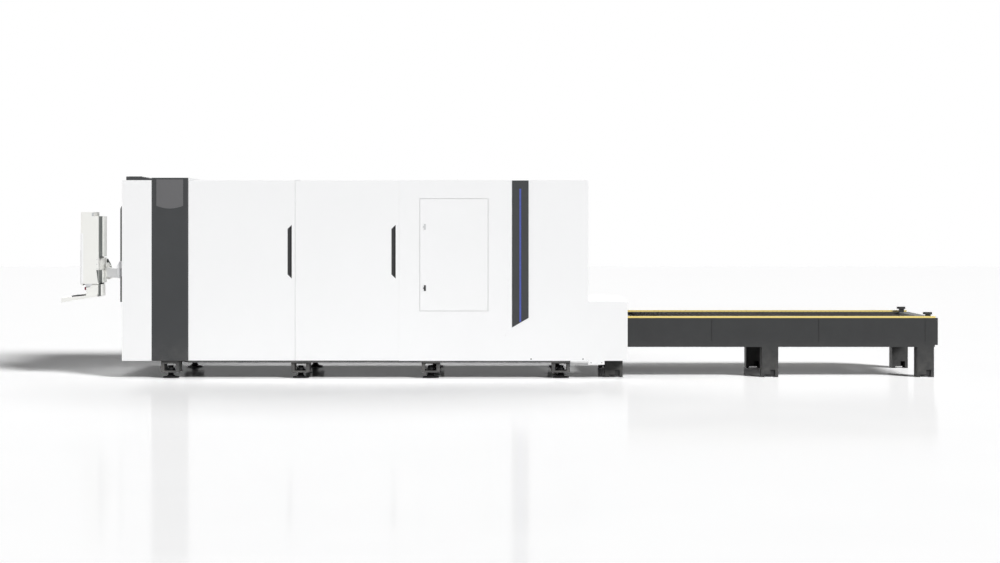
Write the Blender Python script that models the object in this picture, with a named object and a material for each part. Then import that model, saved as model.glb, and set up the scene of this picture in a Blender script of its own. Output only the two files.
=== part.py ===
"""Fiber laser cutting machine with a full enclosure and a shuttle table.

Metres, +Z up. +X runs from the operator's end to the exchange table, the near side faces -Y, and
the origin is on the floor under the middle of the machine. Distances along the machine are stated
from the enclosure's front face, and start() turns them into X.
"""

import math

import bmesh
import bpy
from mathutils import Matrix, Vector

# General clearances and how finely round pieces are cut
GAP = 0.0003
OVERRUN = 0.02
MERGE_DISTANCE = 0.000003
JOIN_DEPTH = 0.003
SMOOTH_ANGLE = 40
ROUND_SIDES = 16
SMALL_SIDES = 10
FOOT_SIDES = 12
NUT_SIDES = 6
CORNER_STEPS = 4
NEAR = -1
FAR = 1
SIDES = (NEAR, FAR)
SIDE_NAMES = {NEAR: "near", FAR: "far"}

# Enclosure: overall size
HALF_WIDTH = 1.350
TRIM_PROUD = 0.005
SKIN_BOTTOM = 0.196
SKIN_TOP = 2.210
HIGH_LENGTH = 5.200
HOOD_LENGTH = 0.438
HOOD_TOP = 0.856
HOOD_LIP_LENGTH = 0.180
HOOD_LIP_DROP = 0.044
PANEL_DEPTH = 0.030
PANEL_SHEET = 0.004
PANEL_RIM = 0.016
SEAM = 0.0006
GROOVE = 0.003
SKIN_Y = HALF_WIDTH - TRIM_PROUD
INNER_Y = SKIN_Y - PANEL_DEPTH

# Front section, its doorway, the bezel round it and the sliding door behind it
FRONT_LENGTH = 0.331
BEZEL_BOTTOM = 0.848
BEZEL_TOP_MARGIN = 0.290
BEZEL_TOP = SKIN_TOP - BEZEL_TOP_MARGIN
BEZEL_SIDE_MARGIN = 0.160
BEZEL_HALF_WIDTH = HALF_WIDTH - BEZEL_SIDE_MARGIN
BEZEL_PROUD = 0.022
BEZEL_CHAMFER = 0.006
DOORWAY_SIDE_MARGIN = 0.510
DOORWAY_NEAR = DOORWAY_SIDE_MARGIN - BEZEL_HALF_WIDTH
DOORWAY_WIDTH = 1.000
DOORWAY_MARGIN = 0.080
DOOR_LEAF = 0.024
DOOR_LAP = 0.040
DOOR_RAIL_HEIGHT = 0.022
DOOR_RAIL_DEPTH = 0.025
DOOR_RAIL_MARGIN = 0.020
DOOR_RAIL_END_GAP = 0.045
WINDOW_MARGIN = 0.150
WINDOW_GLASS = 0.008
DOOR_HANDLE_WIDTH = 0.028
DOOR_HANDLE_LENGTH = 0.360
DOOR_HANDLE_REACH = 0.024
DOOR_HANDLE_INSET = 0.030

# Dark band round the front of the enclosure, with a lighter inset on each side
BAND_LENGTH = 0.408
BAND_RISE = 0.027
BAND_CHAMFER = 0.012
INSET_START = 0.054
INSET_LENGTH = 0.298
INSET_CORNER_DROP = 0.286
INSET_CURVE = 0.031
INSET_BOTTOM_CORNER = SKIN_TOP - INSET_CORNER_DROP
INSET_TOP_MARGIN = 0.018
INSET_DEPTH = 0.004

# Roof visor ahead of the band
VISOR_START = 0.048
VISOR_SIDE_MARGIN = 0.010
VISOR_HALF_WIDTH = BEZEL_HALF_WIDTH - VISOR_SIDE_MARGIN
VISOR_RISE = 0.045
VISOR_NOSE = 0.012
VISOR_CREST_LENGTH = 0.150
VISOR_TAIL_RISE = 0.018

# Roof behind the band and the far side, both in folded bays
ROOF_BAY_COUNT = 3
ROOF_RIB = 0.060
FAR_BAY_COUNT = 3

# The hood's passage for the pallets
ENTRY_MARGIN = 0.030
ENTRY_TOP = 0.750

# Accent strip towards the rear, with a light line let into it
ACCENT_START_MARGIN = 0.850
ACCENT_START = HIGH_LENGTH - ACCENT_START_MARGIN
ACCENT_WIDTH = 0.184
ACCENT_BOTTOM_FRONT = 0.568
ACCENT_BOTTOM_REAR = 0.675
ACCENT_TOP_MARGIN = 0.004
LIGHT_START = 0.081
LIGHT_WIDTH = 0.020
LIGHT_BOTTOM = 0.631
LIGHT_TOP_MARGIN = 0.096
LIGHT_TOP = SKIN_TOP - LIGHT_TOP_MARGIN
LIGHT_DEPTH = 0.003

# Side doors: hinged leaves with flush pulls
FRONT_LEAF_END = 1.930
REAR_LEAF_END = 3.090
LEAF_LIFT = 0.003
LEAF_RAIL_CENTRE = 0.980
LEAF_RAIL_HEIGHT = 0.060
HINGE_INSET = 0.006
HINGE_PIN_RADIUS = 0.0035
HINGE_CLEARANCE = 0.0004
HINGE_PIN_DEPTH = 0.040
HINGE_PLATE_LENGTH = 0.060
HINGE_PLATE_WIDTH = 0.090
HINGE_PLATE_THICKNESS = 0.006
PULL_START_FRONT = 1.847
PULL_START_REAR = 3.005
PULL_WIDTH = 0.047
PULL_BOTTOM = 1.113
PULL_TOP = 1.712
PULL_SLOPE = 0.046
PULL_DEPTH = 0.026
PULL_WALL = 0.007
PULL_FLOOR = 0.004

# Control cabinet in the near side and its door
CABINET_DOOR_START = 3.323
CABINET_DOOR_END = 4.081
CABINET_DOOR_BOTTOM = 0.753
CABINET_DOOR_TOP_MARGIN = 0.208
CABINET_DOOR_TOP = SKIN_TOP - CABINET_DOOR_TOP_MARGIN
CABINET_DOOR_SEAM = 0.003
CABINET_MARGIN = 0.024
CABINET_DEPTH = 0.175
CABINET_WALL = 0.004
LATCH_CENTRE = 0.055
LATCH_WIDTH = 0.021
LATCH_HEIGHT = 0.064
LATCH_PROUD = 0.0045
LATCH_UPPER_MARGIN = 0.312
LATCH_LOWER_MARGIN = 0.254
LATCH_UPPER = CABINET_DOOR_TOP - LATCH_UPPER_MARGIN
LATCH_LOWER = CABINET_DOOR_BOTTOM + LATCH_LOWER_MARGIN
LATCH_SHAFT = 0.007
LATCH_NOSE = 0.034
LATCH_NOSE_THICKNESS = 0.004
GEAR_PLATE_MARGIN = 0.040
GEAR_PLATE = 0.004
GEAR_ROWS = 4
GEAR_COLUMNS = 6
GEAR_HEIGHT = 0.110
GEAR_DEPTH = 0.085
GEAR_SPACING = 0.012
GEAR_STEPS = 3
GEAR_ROW_SHARE = 0.2162
GEAR_ROW_PITCH = (CABINET_DOOR_TOP - CABINET_DOOR_BOTTOM) * GEAR_ROW_SHARE

# Lower hatch seam on the near side
HATCH_START = 4.280
HATCH_TOP = 0.514

# Enclosure frame of square tube, and the base frame that the skins stand on
TUBE = 0.060
BASE_HEIGHT = 0.020
BASE_START = 0.739
BASE_END_MARGIN = 0.200
BASE_END = HIGH_LENGTH - BASE_END_MARGIN
BASE_INSET = 0.002
BASE_RAIL = 0.060
POST_FRONT = 0.070
POST_BAND = 0.600
POST_REAR_MARGIN = 0.092
POST_REAR = HIGH_LENGTH - POST_REAR_MARGIN

# Bed, its feet and the rails on it
BED_SIDE_MARGIN = 0.250
GIRDER_WIDTH = 0.220
BED_OUTER = HALF_WIDTH - BED_SIDE_MARGIN
BED_INNER = BED_OUTER - GIRDER_WIDTH
BED_TOP = 0.500
CROSS_WIDTH = 0.100
CROSS_BOTTOM = 0.200
CROSS_TOP = 0.340
FOOT_FIRST = 0.531
FOOT_REAR_MARGIN = 0.304
FOOT_COUNT = 4
FOOT_PITCH = (HIGH_LENGTH - FOOT_REAR_MARGIN - FOOT_FIRST) / (FOOT_COUNT - 1)
FOOT_SIDE_MARGIN = 0.140
FOOT_Y = HALF_WIDTH - FOOT_SIDE_MARGIN
BRACKET_WIDTH = 0.203
BRACKET_WALL = 0.037
BRACKET_TOP_WALL = 0.014
BRACKET_FLOOR = 0.020
BRACKET_BOTTOM = 0.064
BRACKET_REACH = 0.210
BRACKET_SIDE_MARGIN = 0.040
BRACKET_INNER = FOOT_Y - BRACKET_REACH
BRACKET_OUTER = HALF_WIDTH - BRACKET_SIDE_MARGIN
STUD_RADIUS = 0.0315
DISC_RADIUS = 0.095
DISC_RIM = 0.012
DISC_DOME = 0.022
DISC_SHOULDER = 0.060
STUD_TOP = 0.140
NUT_RADIUS = 0.048
NUT_HEIGHT = 0.030
RAIL_CENTRE = (BED_INNER + BED_OUTER) / 2
RAIL_WIDTH = 0.035
RAIL_HEIGHT = 0.030
RAIL_END_MARGIN = 0.060

# Scrap trays between the bed's cross beams
SCRAP_RIM = 0.030
SCRAP_SHEET = 0.004
SCRAP_DEPTH = 0.125
SCRAP_SIDE_GAP = 0.004
SCRAP_TRACK_GAP = 0.010

# Gantry, carriage and cutting head
GANTRY_HOME = 1.450
TRUCK_LENGTH = 0.400
TRUCK_SIDE_MARGIN = 0.020
TRUCK_INNER = BED_INNER + TRUCK_SIDE_MARGIN
TRUCK_OUTER = BED_OUTER - TRUCK_SIDE_MARGIN
TRUCK_NECK_LENGTH = 0.260
TRUCK_FOOT_HEIGHT = 0.110
BEAM_BOTTOM = 0.860
BEAM_TOP = 1.120
BEAM_DEPTH = 0.220
BEAM_SLOPE = 0.060
GUIDE_WIDTH = 0.030
GUIDE_DEPTH = 0.020
GUIDE_LOW = 0.900
GUIDE_HIGH = 1.010
MOTOR_RADIUS = 0.052
MOTOR_LENGTH = 0.100
MOTOR_HEIGHT = 0.620
GEARBOX_HALF = 0.060
GEARBOX_LENGTH = 0.018
CARRIAGE_SIDE_MARGIN = 0.130
CARRIAGE_HOME = CARRIAGE_SIDE_MARGIN - BED_INNER
CARRIAGE_WIDTH = 0.240
CARRIAGE_PLATE = 0.024
CARRIAGE_BOTTOM = 0.870
CARRIAGE_TOP = 1.240
SLIDE_WIDTH = 0.130
SLIDE_DEPTH = 0.045
SLIDE_BOTTOM = 0.900
SLIDE_TOP = 1.300
HEAD_RADIUS = 0.042
HEAD_SHOULDER = 0.030
HEAD_NECK_RADIUS = 0.026
HEAD_STANDOFF = 0.050
NOZZLE_TIP = 0.720
NOZZLE_RADIUS = 0.014
NOZZLE_MOUTH = 0.005
NOZZLE_HEIGHT = 0.040
HEAD_BARREL_BOTTOM_SHARE = 0.45

# Pallet tracks and the lift posts beside them
TRACK_PLATE = 0.010
TRACK_SIDE_GAP = 0.050
TRACK_WIDTH = 0.058
TRACK_OUTER = BED_INNER - TRACK_SIDE_GAP
TRACK_INNER = TRACK_OUTER - TRACK_WIDTH
TRACK_RISE = 0.045
TRACK_START_REACH = 3.250
TRACK_START = HIGH_LENGTH - TRACK_START_REACH
TRACK_END_REACH = 0.460
TRACK_END = HIGH_LENGTH + TRACK_END_REACH
TRACK_BRACKET_LENGTH = 0.080
LIFT_POST_DEPTH = 0.015
LIFT_POST_OUTER = TRACK_OUTER + LIFT_POST_DEPTH

# Shuttle pallets
PALLET_TOP = 0.680
PALLET_START_MARGIN = 0.500
PALLET_START = HIGH_LENGTH + PALLET_START_MARGIN
PALLET_LENGTH = 3.200
PALLET_TRAVEL = 3.700
LIFT_DROP = 0.220
PALLET_RAIL_CLEARANCE = 0.002
PALLET_RAIL_OUTER = TRACK_INNER - PALLET_RAIL_CLEARANCE
PALLET_RAIL_WIDTH = 0.050
PALLET_RAIL_BOTTOM = 0.575
PALLET_RAIL_TOP = 0.640
PALLET_BAR_COUNT = 3
PALLET_BAR_WIDTH = 0.040
SLAT_HEIGHT = 0.090
SLAT_THICKNESS = 0.005
SLAT_SEAT = 0.002
SLAT_PITCH = 0.126
SLAT_TEETH = 10
TOOTH_HEIGHT = 0.022
WHEEL_RADIUS = 0.035
WHEEL_WIDTH = 0.024
WHEEL_COUNT = 4
WHEEL_MARGIN = 0.300

# Exchange table
TABLE_HALF_WIDTH = BED_OUTER
TABLE_START_GAP_TO_WALL = 0.180
TABLE_START = HIGH_LENGTH + TABLE_START_GAP_TO_WALL
TABLE_BEAM_LENGTH = 3.616
TABLE_BEAM_END = TABLE_START + TABLE_BEAM_LENGTH
END_BOX_LENGTH = 0.140
TABLE_END = TABLE_BEAM_END + END_BOX_LENGTH
TABLE_BOTTOM = 0.339
TABLE_TOP = 0.665
TABLE_WEB = 0.012
TABLE_FLANGE = 0.120
TABLE_RAIL_TOP = 0.397
TABLE_RAIL_PROUD = 0.004
TABLE_SEAM_FRONT_DISTANCE = 1.215
TABLE_SEAM_FRONT = TABLE_START + TABLE_SEAM_FRONT_DISTANCE
TABLE_SEAM_REAR_DISTANCE = 2.418
TABLE_SEAM_REAR = TABLE_START + TABLE_SEAM_REAR_DISTANCE
END_BOX_BOTTOM = 0.361
END_LIP_SETBACK = 0.033
END_LIP_END = TABLE_END - END_LIP_SETBACK
END_WALL = 0.012
STRIP_START_MARGIN = 0.270
STRIP_START = TABLE_START + STRIP_START_MARGIN
STRIP_END_MARGIN = 0.026
STRIP_END = TABLE_END - STRIP_END_MARGIN
STRIP_TOP = 0.686
STRIP_WIDTH = 0.040
STOP_START_MARGIN = 0.002
STOP_START = TABLE_BEAM_END + STOP_START_MARGIN
STOP_LENGTH = 0.081
STOP_TOP = 0.729
STOP_CAP = 0.026
STOP_CAP_OVERHANG = 0.014
STOP_WIDTH = 0.090
STOP_INSET = 0.050
LEG_FRONT_START_MARGIN = 0.016
LEG_FRONT_START = TABLE_START + LEG_FRONT_START_MARGIN
LEG_FRONT_WIDTH = 0.199
LEG_MIDDLE_START_DISTANCE = 1.779
LEG_MIDDLE_START = TABLE_START + LEG_MIDDLE_START_DISTANCE
LEG_MIDDLE_WIDTH = 0.184
LEG_REAR_WIDTH = 0.188
LEG_REAR_MARGIN = 0.043
LEG_REAR_START = TABLE_END - LEG_REAR_MARGIN - LEG_REAR_WIDTH
LEG_LIFT_GAP = 0.005
LEG_DEPTH = TABLE_HALF_WIDTH - LIFT_POST_OUTER - LEG_LIFT_GAP
DOCKING_WIDTH = 0.060
DOCKING_HEIGHT = 0.060
LEG_WALL = 0.010
LEG_NOTCH_WIDTH = 0.055
LEG_NOTCH_HEIGHT = 0.082
LEG_TOE_WIDTH = 0.122
LEG_TOE_HEIGHT = 0.030
LEG_NOTCH_END = 0.033

# Lift frame that carries the outer pallet and the lower passage
LIFT_POST_LENGTH = 0.060
LIFT_START_MARGIN = 0.300
LIFT_START = TABLE_START + LIFT_START_MARGIN
LIFT_END_MARGIN = 0.036
LIFT_END = TABLE_BEAM_END - LIFT_END_MARGIN
LIFT_BEAM_HEIGHT = 0.060
LIFT_BEAM_WIDTH = 0.080
LIFT_COUNT = 3
LIFT_MARGIN = 0.250
GUIDE_BLOCK_LENGTH = 0.100
GUIDE_BLOCK_CLEARANCE = 0.0005
GUIDE_BLOCK_MARGIN = 0.009

# Operator's console on its arm
TRAY_REACH = 0.715
CONSOLE_SIDE_MARGIN = 0.450
CONSOLE_Y = CONSOLE_SIDE_MARGIN - HALF_WIDTH
CONSOLE_HALF_WIDTH = 0.210
HOUSING_FRONT = -0.493
HOUSING_STEP = -0.347
HOUSING_BACK = -0.295
HOUSING_TOP = 1.856
HOUSING_SHOULDER = 1.809
HOUSING_BOTTOM = 1.049
HOUSING_LIP = 0.017
HOUSING_LIP_LENGTH = 0.020
HOUSING_CORNER = 0.008
SCREEN_MARGIN = 0.030
SCREEN_TOP_MARGIN = 0.060
SCREEN_HEIGHT = 0.330
SCREEN_DEPTH = 0.004
CONSOLE_SHEET = 0.004
CONSOLE_FLANGE = 0.020
COVER_BACK = -0.256
UPPER_COVER_HALF = 0.170
UPPER_COVER_BOTTOM = 1.355
LOWER_COVER_HALF = 0.090
LOWER_COVER_BOTTOM = 1.060
LOWER_COVER_TOP = 1.190
BOX_COVER_BACK = -0.273
BOX_COVER_BOTTOM = 0.911
BOX_COVER_TOP = 1.045
BOX_FRONT = -0.437
BOX_BACK = -0.300
BOX_HALF_WIDTH = 0.190
TRAY_BACK = -0.310
TRAY_HALF_WIDTH = 0.205
TRAY_TIP_TOP = 0.892
TRAY_TIP_BOTTOM = 0.836
TRAY_BACK_TOP = 0.928
TRAY_BACK_BOTTOM = 0.903
KEYBOARD_START = -0.600
KEYBOARD_END = -0.475
KEYBOARD_HALF_WIDTH = 0.180
KEYBOARD_THICKNESS = 0.014
STOP_BUTTON_SHIFT = 0.150
STOP_BUTTON_Y = CONSOLE_Y - STOP_BUTTON_SHIFT
STOP_BUTTON_Z = 0.995
STOP_BUTTON_RADIUS = 0.020
STOP_BUTTON_HEAD = 0.018
STOP_BUTTON_STEM = 0.008
STOP_BUTTON_TRAVEL = 0.005
STOP_BUTTON_HOLE = 0.020

# The clevis on the housing's back and the tongue that it tilts on
CLEVIS_BACK = -0.239
CLEVIS_HALF = 0.055
CLEVIS_BOTTOM = 1.204
CLEVIS_TOP = 1.341
CLEVIS_BASE = 0.009
TONGUE_HALF = 0.026
TONGUE_RADIUS = 0.024
TONGUE_CLEARANCE = 0.0005
TILT_X = -0.255
TILT_Z = 1.2725
TILT_PIN_RADIUS = 0.008
NECK_TOP = 1.335
NECK_CREST = -0.234
NECK_BACK = -0.180
NECK_FRONT = -0.228
NECK_SHOULDER = 0.018

# The arm: wall bracket, link and elbow
ARM_PIVOT_X = -0.045
ARM_SIDE_MARGIN = 0.100
ARM_PIVOT_Y = ARM_SIDE_MARGIN - HALF_WIDTH
ARM_PIN_RADIUS = 0.010
ARM_CLEARANCE = 0.0003
BRACKET_PLATE = 0.012
BRACKET_PLATE_BOTTOM = 1.141
BRACKET_PLATE_TOP = 1.305
BRACKET_HALF_WIDTH = 0.045
BRACKET_EAR = 0.030
BRACKET_EAR_HALF = 0.020
PIN_HEAD_RADIUS = 0.016
PIN_HEAD = 0.008
ELBOW_X = -0.195
ELBOW_SHIFT = 0.250
ELBOW_Y = ARM_PIVOT_Y + ELBOW_SHIFT
ELBOW_RADIUS = 0.0365
LINK_BOTTOM = 1.124
LINK_TOP = 1.224
LINK_PIVOT_RADIUS = 0.021
ELBOW_CAP_LOW = 0.024
ELBOW_CAP_HIGH = 0.016
ELBOW_PIN_RADIUS = 0.014


def start(distance):
    """X of a place given by its distance behind the enclosure's front face."""
    return distance - (TABLE_END - TRAY_REACH) / 2


# Basic solids

def add_object(name, bm):
    bmesh.ops.remove_doubles(bm, verts=bm.verts, dist=MERGE_DISTANCE)
    bmesh.ops.recalc_face_normals(bm, faces=bm.faces)
    mesh = bpy.data.meshes.new(name)
    bm.to_mesh(mesh)
    bm.free()
    obj = bpy.data.objects.new(name, mesh)
    bpy.context.scene.collection.objects.link(obj)
    return obj


def block(name, xs, ys, zs):
    """A box between two X, two Y and two Z values, each pair in either order."""
    spans = [(min(pair), max(pair)) for pair in (xs, ys, zs)]
    bm = bmesh.new()
    bmesh.ops.create_cube(bm, size=1)
    size = Matrix.Diagonal([high - low for low, high in spans]).to_4x4()
    centre = Matrix.Translation([(high + low) / 2 for low, high in spans])
    bmesh.ops.transform(bm, matrix=centre @ size, verts=bm.verts)
    return add_object(name, bm)


def prism(name, outline, axis, first, last):
    """An outline pushed along X (points are y, z), Y (points are x, z) or Z (points are x, y)."""
    bm = bmesh.new()
    points = []
    for across, up in outline:
        place = [across, up]
        place.insert("XYZ".index(axis), first)
        points.append(bm.verts.new(place))
    face = bm.faces.new(points)
    pushed = bmesh.ops.extrude_face_region(bm, geom=[face])
    moved = [item for item in pushed["geom"] if isinstance(item, bmesh.types.BMVert)]
    shift = Vector([0, 0, 0])
    shift["XYZ".index(axis)] = last - first
    bmesh.ops.translate(bm, verts=moved, vec=shift)
    return add_object(name, bm)


def turned(name, profile, place, axis="Z", sides=ROUND_SIDES):
    """A profile of (radius, distance along the axis) points turned round an axis through place."""
    bm = bmesh.new()
    points = [bm.verts.new((radius, 0, up)) for radius, up in profile]
    edges = [bm.edges.new(pair) for pair in zip(points, points[1:])]
    bmesh.ops.spin(bm, geom=points + edges, cent=(0, 0, 0), axis=(0, 0, 1), angle=2 * math.pi,
                   steps=sides, use_merge=True)
    turn = {
        "X": Matrix.Rotation(math.pi / 2, 4, "Y"),
        "Y": Matrix.Rotation(-math.pi / 2, 4, "X"),
        "Z": Matrix.Identity(4),
    }[axis]
    bmesh.ops.transform(bm, matrix=Matrix.Translation(place) @ turn, verts=bm.verts)
    return add_object(name, bm)


def rod(name, radius, place, axis, length, sides=SMALL_SIDES):
    """A plain cylinder that starts at place and runs along the positive axis."""
    return turned(name, [(0, 0), (radius, 0), (radius, length), (0, length)], place, axis, sides)


def combine(operation, target, tools):
    """Joins the tools to the target or cuts them from it, and keeps one object."""
    folder = bpy.data.collections.new("tools")
    for tool in tools:
        folder.objects.link(tool)
    change = target.modifiers.new("Combine", "BOOLEAN")
    change.operation = operation
    change.solver = "EXACT"
    change.operand_type = "COLLECTION"
    change.collection = folder
    bpy.context.view_layer.update()
    graph = bpy.context.evaluated_depsgraph_get()
    result = bpy.data.meshes.new_from_object(target.evaluated_get(graph))
    target.modifiers.clear()
    target.data = result
    for tool in tools:
        bpy.data.objects.remove(tool)
    bpy.data.collections.remove(folder)
    return target


def joined(name, pieces):
    body = combine("UNION", pieces[0], pieces[1:])
    body.name = name
    return body


def cut(target, tools):
    return combine("DIFFERENCE", target, tools)


def paint(obj, name, colour, roughness, metallic=0):
    """Gives an object the named finish, made once."""
    material = bpy.data.materials.get(name)
    if material is None:
        material = bpy.data.materials.new(name)
        material.use_nodes = True
        shader = material.node_tree.nodes["Principled BSDF"]
        shader.inputs["Base Color"].default_value = (*colour, 1)
        shader.inputs["Roughness"].default_value = roughness
        shader.inputs["Metallic"].default_value = metallic
    obj.data.materials.clear()
    obj.data.materials.append(material)
    return obj


def white(obj):
    return paint(obj, "white paint", (0.86, 0.87, 0.88), 0.35)


def dark(obj):
    return paint(obj, "dark grey paint", (0.065, 0.068, 0.072), 0.45)


def mid_grey(obj):
    return paint(obj, "mid grey paint", (0.14, 0.14, 0.145), 0.45)


def light_grey(obj):
    return paint(obj, "light grey paint", (0.58, 0.59, 0.60), 0.40)


def frame_grey(obj):
    return paint(obj, "frame paint", (0.10, 0.105, 0.11), 0.50)


def steel(obj):
    return paint(obj, "steel", (0.42, 0.43, 0.45), 0.35, 1)


def raw_steel(obj):
    return paint(obj, "slat steel", (0.10, 0.11, 0.13), 0.55, 1)


def yellow(obj):
    return paint(obj, "pale yellow paint", (0.85, 0.78, 0.22), 0.45)


def blue(obj):
    return paint(obj, "blue light line", (0.12, 0.14, 0.62), 0.30)


def warm_white(obj):
    return paint(obj, "console paint", (0.82, 0.82, 0.80), 0.40)


def black(obj):
    return paint(obj, "black plastic", (0.02, 0.02, 0.022), 0.45)


def glass(obj):
    return paint(obj, "laser window", (0.05, 0.16, 0.09), 0.08)


def red(obj):
    return paint(obj, "red plastic", (0.45, 0.02, 0.03), 0.35)


# Feet and bed

def foot_x(index):
    return start(FOOT_FIRST + FOOT_PITCH * index)


def base_bottom():
    return SKIN_BOTTOM - BASE_HEIGHT


def make_bracket(x, side):
    """A short box bracket, open from front to back above the stud's floor."""
    half = BRACKET_WIDTH / 2
    ys = (side * BRACKET_INNER, side * BRACKET_OUTER)
    long_ys = (side * (BRACKET_INNER - OVERRUN), side * (BRACKET_OUTER + OVERRUN))
    body = block("bracket", (x - half, x + half), ys, (BRACKET_BOTTOM, SKIN_BOTTOM - GAP))
    window = block("window", (x - half + BRACKET_WALL, x + half - BRACKET_WALL), long_ys,
                   (BRACKET_BOTTOM + BRACKET_FLOOR, base_bottom() - BRACKET_TOP_WALL))
    hole = rod("hole", STUD_RADIUS + GAP, (x, side * FOOT_Y, BRACKET_BOTTOM - OVERRUN), "Z",
               BRACKET_FLOOR + 2 * OVERRUN, FOOT_SIDES)
    return cut(body, [window, hole])


def make_levelling_feet():
    """A domed disc with its stud and lock nut, one under each bracket."""
    profile = [
        (0, 0), (DISC_RADIUS, 0), (DISC_RADIUS, DISC_RIM), (DISC_SHOULDER, DISC_DOME),
        (STUD_RADIUS, DISC_DOME), (STUD_RADIUS, STUD_TOP), (0, STUD_TOP),
    ]
    nut_low = BRACKET_BOTTOM + BRACKET_FLOOR + GAP
    for index in range(FOOT_COUNT):
        for side in SIDES:
            place = (foot_x(index), side * FOOT_Y, 0)
            nut = rod("nut", NUT_RADIUS, (place[0], place[1], nut_low), "Z", NUT_HEIGHT,
                      NUT_SIDES)
            name = "levelling_foot_" + SIDE_NAMES[side] + "_" + str(index + 1)
            steel(joined(name, [turned("foot", profile, place, "Z", FOOT_SIDES), nut]))


def bed_span():
    half = BRACKET_WIDTH / 2
    return foot_x(0) - half, foot_x(FOOT_COUNT - 1) + half


def base_ladder(side):
    """The flat rail under the skins on one side, its ties and the doors' lower pivot pins."""
    zs = (base_bottom(), SKIN_BOTTOM - GAP)
    xs = (start(BASE_START), start(BASE_END))
    outer = SKIN_Y - BASE_INSET
    pieces = [block("rail", xs, (side * (outer - BASE_RAIL), side * outer), zs)]
    for index in range(1, FOOT_COUNT):
        span = (foot_x(index) - BRACKET_WIDTH / 2, min(foot_x(index) + BRACKET_WIDTH / 2, xs[1]))
        pieces.append(block("tie", span, (side * BRACKET_INNER, side * (outer - BASE_INSET)), zs))
    return pieces


def lower_pins():
    pins = []
    for first, last in (front_leaf_span(), rear_leaf_span()):
        low_z = side_leaf_spans(first, last)[1][0]
        pins.append(hinge_pin(first + HINGE_INSET, -SKIN_Y + HINGE_INSET, base_bottom() + BASE_HEIGHT / 2,
                              low_z + HINGE_PIN_DEPTH))
    return pins


def rail_bar(side):
    """The ground rail that the gantry runs on."""
    first, last = bed_span()
    ys = (side * RAIL_CENTRE - RAIL_WIDTH / 2, side * RAIL_CENTRE + RAIL_WIDTH / 2)
    return block("rail", (first + RAIL_END_MARGIN, last - RAIL_END_MARGIN), ys,
                 (BED_TOP - RAIL_HEIGHT / 2, BED_TOP + RAIL_HEIGHT))


def make_bed_frame():
    """The welded bed: girders, cross beams, foot brackets, rails, pallet tracks and base ladder."""
    pieces = []
    reach = BED_INNER + OVERRUN
    for index in range(FOOT_COUNT):
        x = foot_x(index)
        pieces.append(block("cross", (x - CROSS_WIDTH / 2, x + CROSS_WIDTH / 2), (-reach, reach),
                            (CROSS_BOTTOM, CROSS_TOP)))
    for side in SIDES:
        pieces.append(block("girder", bed_span(), (side * BED_INNER, side * BED_OUTER),
                            (base_bottom(), BED_TOP)))
        pieces += [make_bracket(foot_x(index), side) for index in range(FOOT_COUNT)]
        pieces.append(rail_bar(side))
        pieces += base_ladder(side)
        pieces += pallet_track(side)
    return frame_grey(joined("bed_frame", pieces + lower_pins()))


def make_scrap_trays():
    """Folded trays that hang by their rims on the cross beams and catch the cut scrap."""
    top = CROSS_TOP + GAP + SCRAP_SHEET
    for index in range(FOOT_COUNT - 1):
        first = foot_x(index) + CROSS_WIDTH / 2 + SCRAP_SIDE_GAP
        last = foot_x(index + 1) - CROSS_WIDTH / 2 - SCRAP_SIDE_GAP
        half = TRACK_INNER - SCRAP_TRACK_GAP
        low = top - SCRAP_DEPTH
        outer = block("tray", (first, last), (-half, half), (low, top))
        rim = block("rim", (first - SCRAP_RIM, last + SCRAP_RIM), (-half, half), (CROSS_TOP + GAP, top))
        inner = block("inner", (first + SCRAP_SHEET, last - SCRAP_SHEET),
                      (SCRAP_SHEET - half, half - SCRAP_SHEET), (low + SCRAP_SHEET, top + OVERRUN))
        raw_steel(cut(joined("scrap_tray_" + str(index + 1), [outer, rim]), [inner]))


# Enclosure frame

def post_starts():
    seam_half = TUBE / 2
    return [POST_FRONT, POST_BAND, FRONT_LEAF_END - seam_half, REAR_LEAF_END, POST_REAR]


def make_enclosure_frame():
    """Posts, a ring under the roof and a ring on the base, welded from square tube."""
    outer = INNER_Y - GAP
    bottom = SKIN_BOTTOM
    top = SKIN_TOP - PANEL_DEPTH - GAP
    xs = (start(POST_FRONT), start(POST_REAR) + TUBE)
    pieces = []
    for side in SIDES:
        ys = (side * (outer - TUBE), side * outer)
        pieces.append(block("lower rail", xs, ys, (bottom, bottom + TUBE)))
        pieces.append(block("upper rail", xs, ys, (top - TUBE, top)))
        for place in post_starts():
            pieces.append(block("post", (start(place), start(place) + TUBE), ys, (bottom, top)))
    reach = outer - TUBE / 2
    for place in post_starts():
        span = (start(place), start(place) + TUBE)
        pieces.append(block("roof bar", span, (-reach, reach), (top - TUBE, top)))
    for place in (POST_FRONT, POST_REAR):
        span = (start(place), start(place) + TUBE)
        pieces.append(block("floor bar", span, (-reach, reach), (bottom, bottom + TUBE)))
    return frame_grey(joined("enclosure_frame", pieces))


# Skins

def front_face():
    return start(0)


def doorway():
    """Y and Z spans of the doorway in the front."""
    ys = (DOORWAY_NEAR, DOORWAY_NEAR + DOORWAY_WIDTH)
    zs = (BEZEL_BOTTOM + DOORWAY_MARGIN, BEZEL_TOP - DOORWAY_MARGIN)
    return ys, zs


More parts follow.
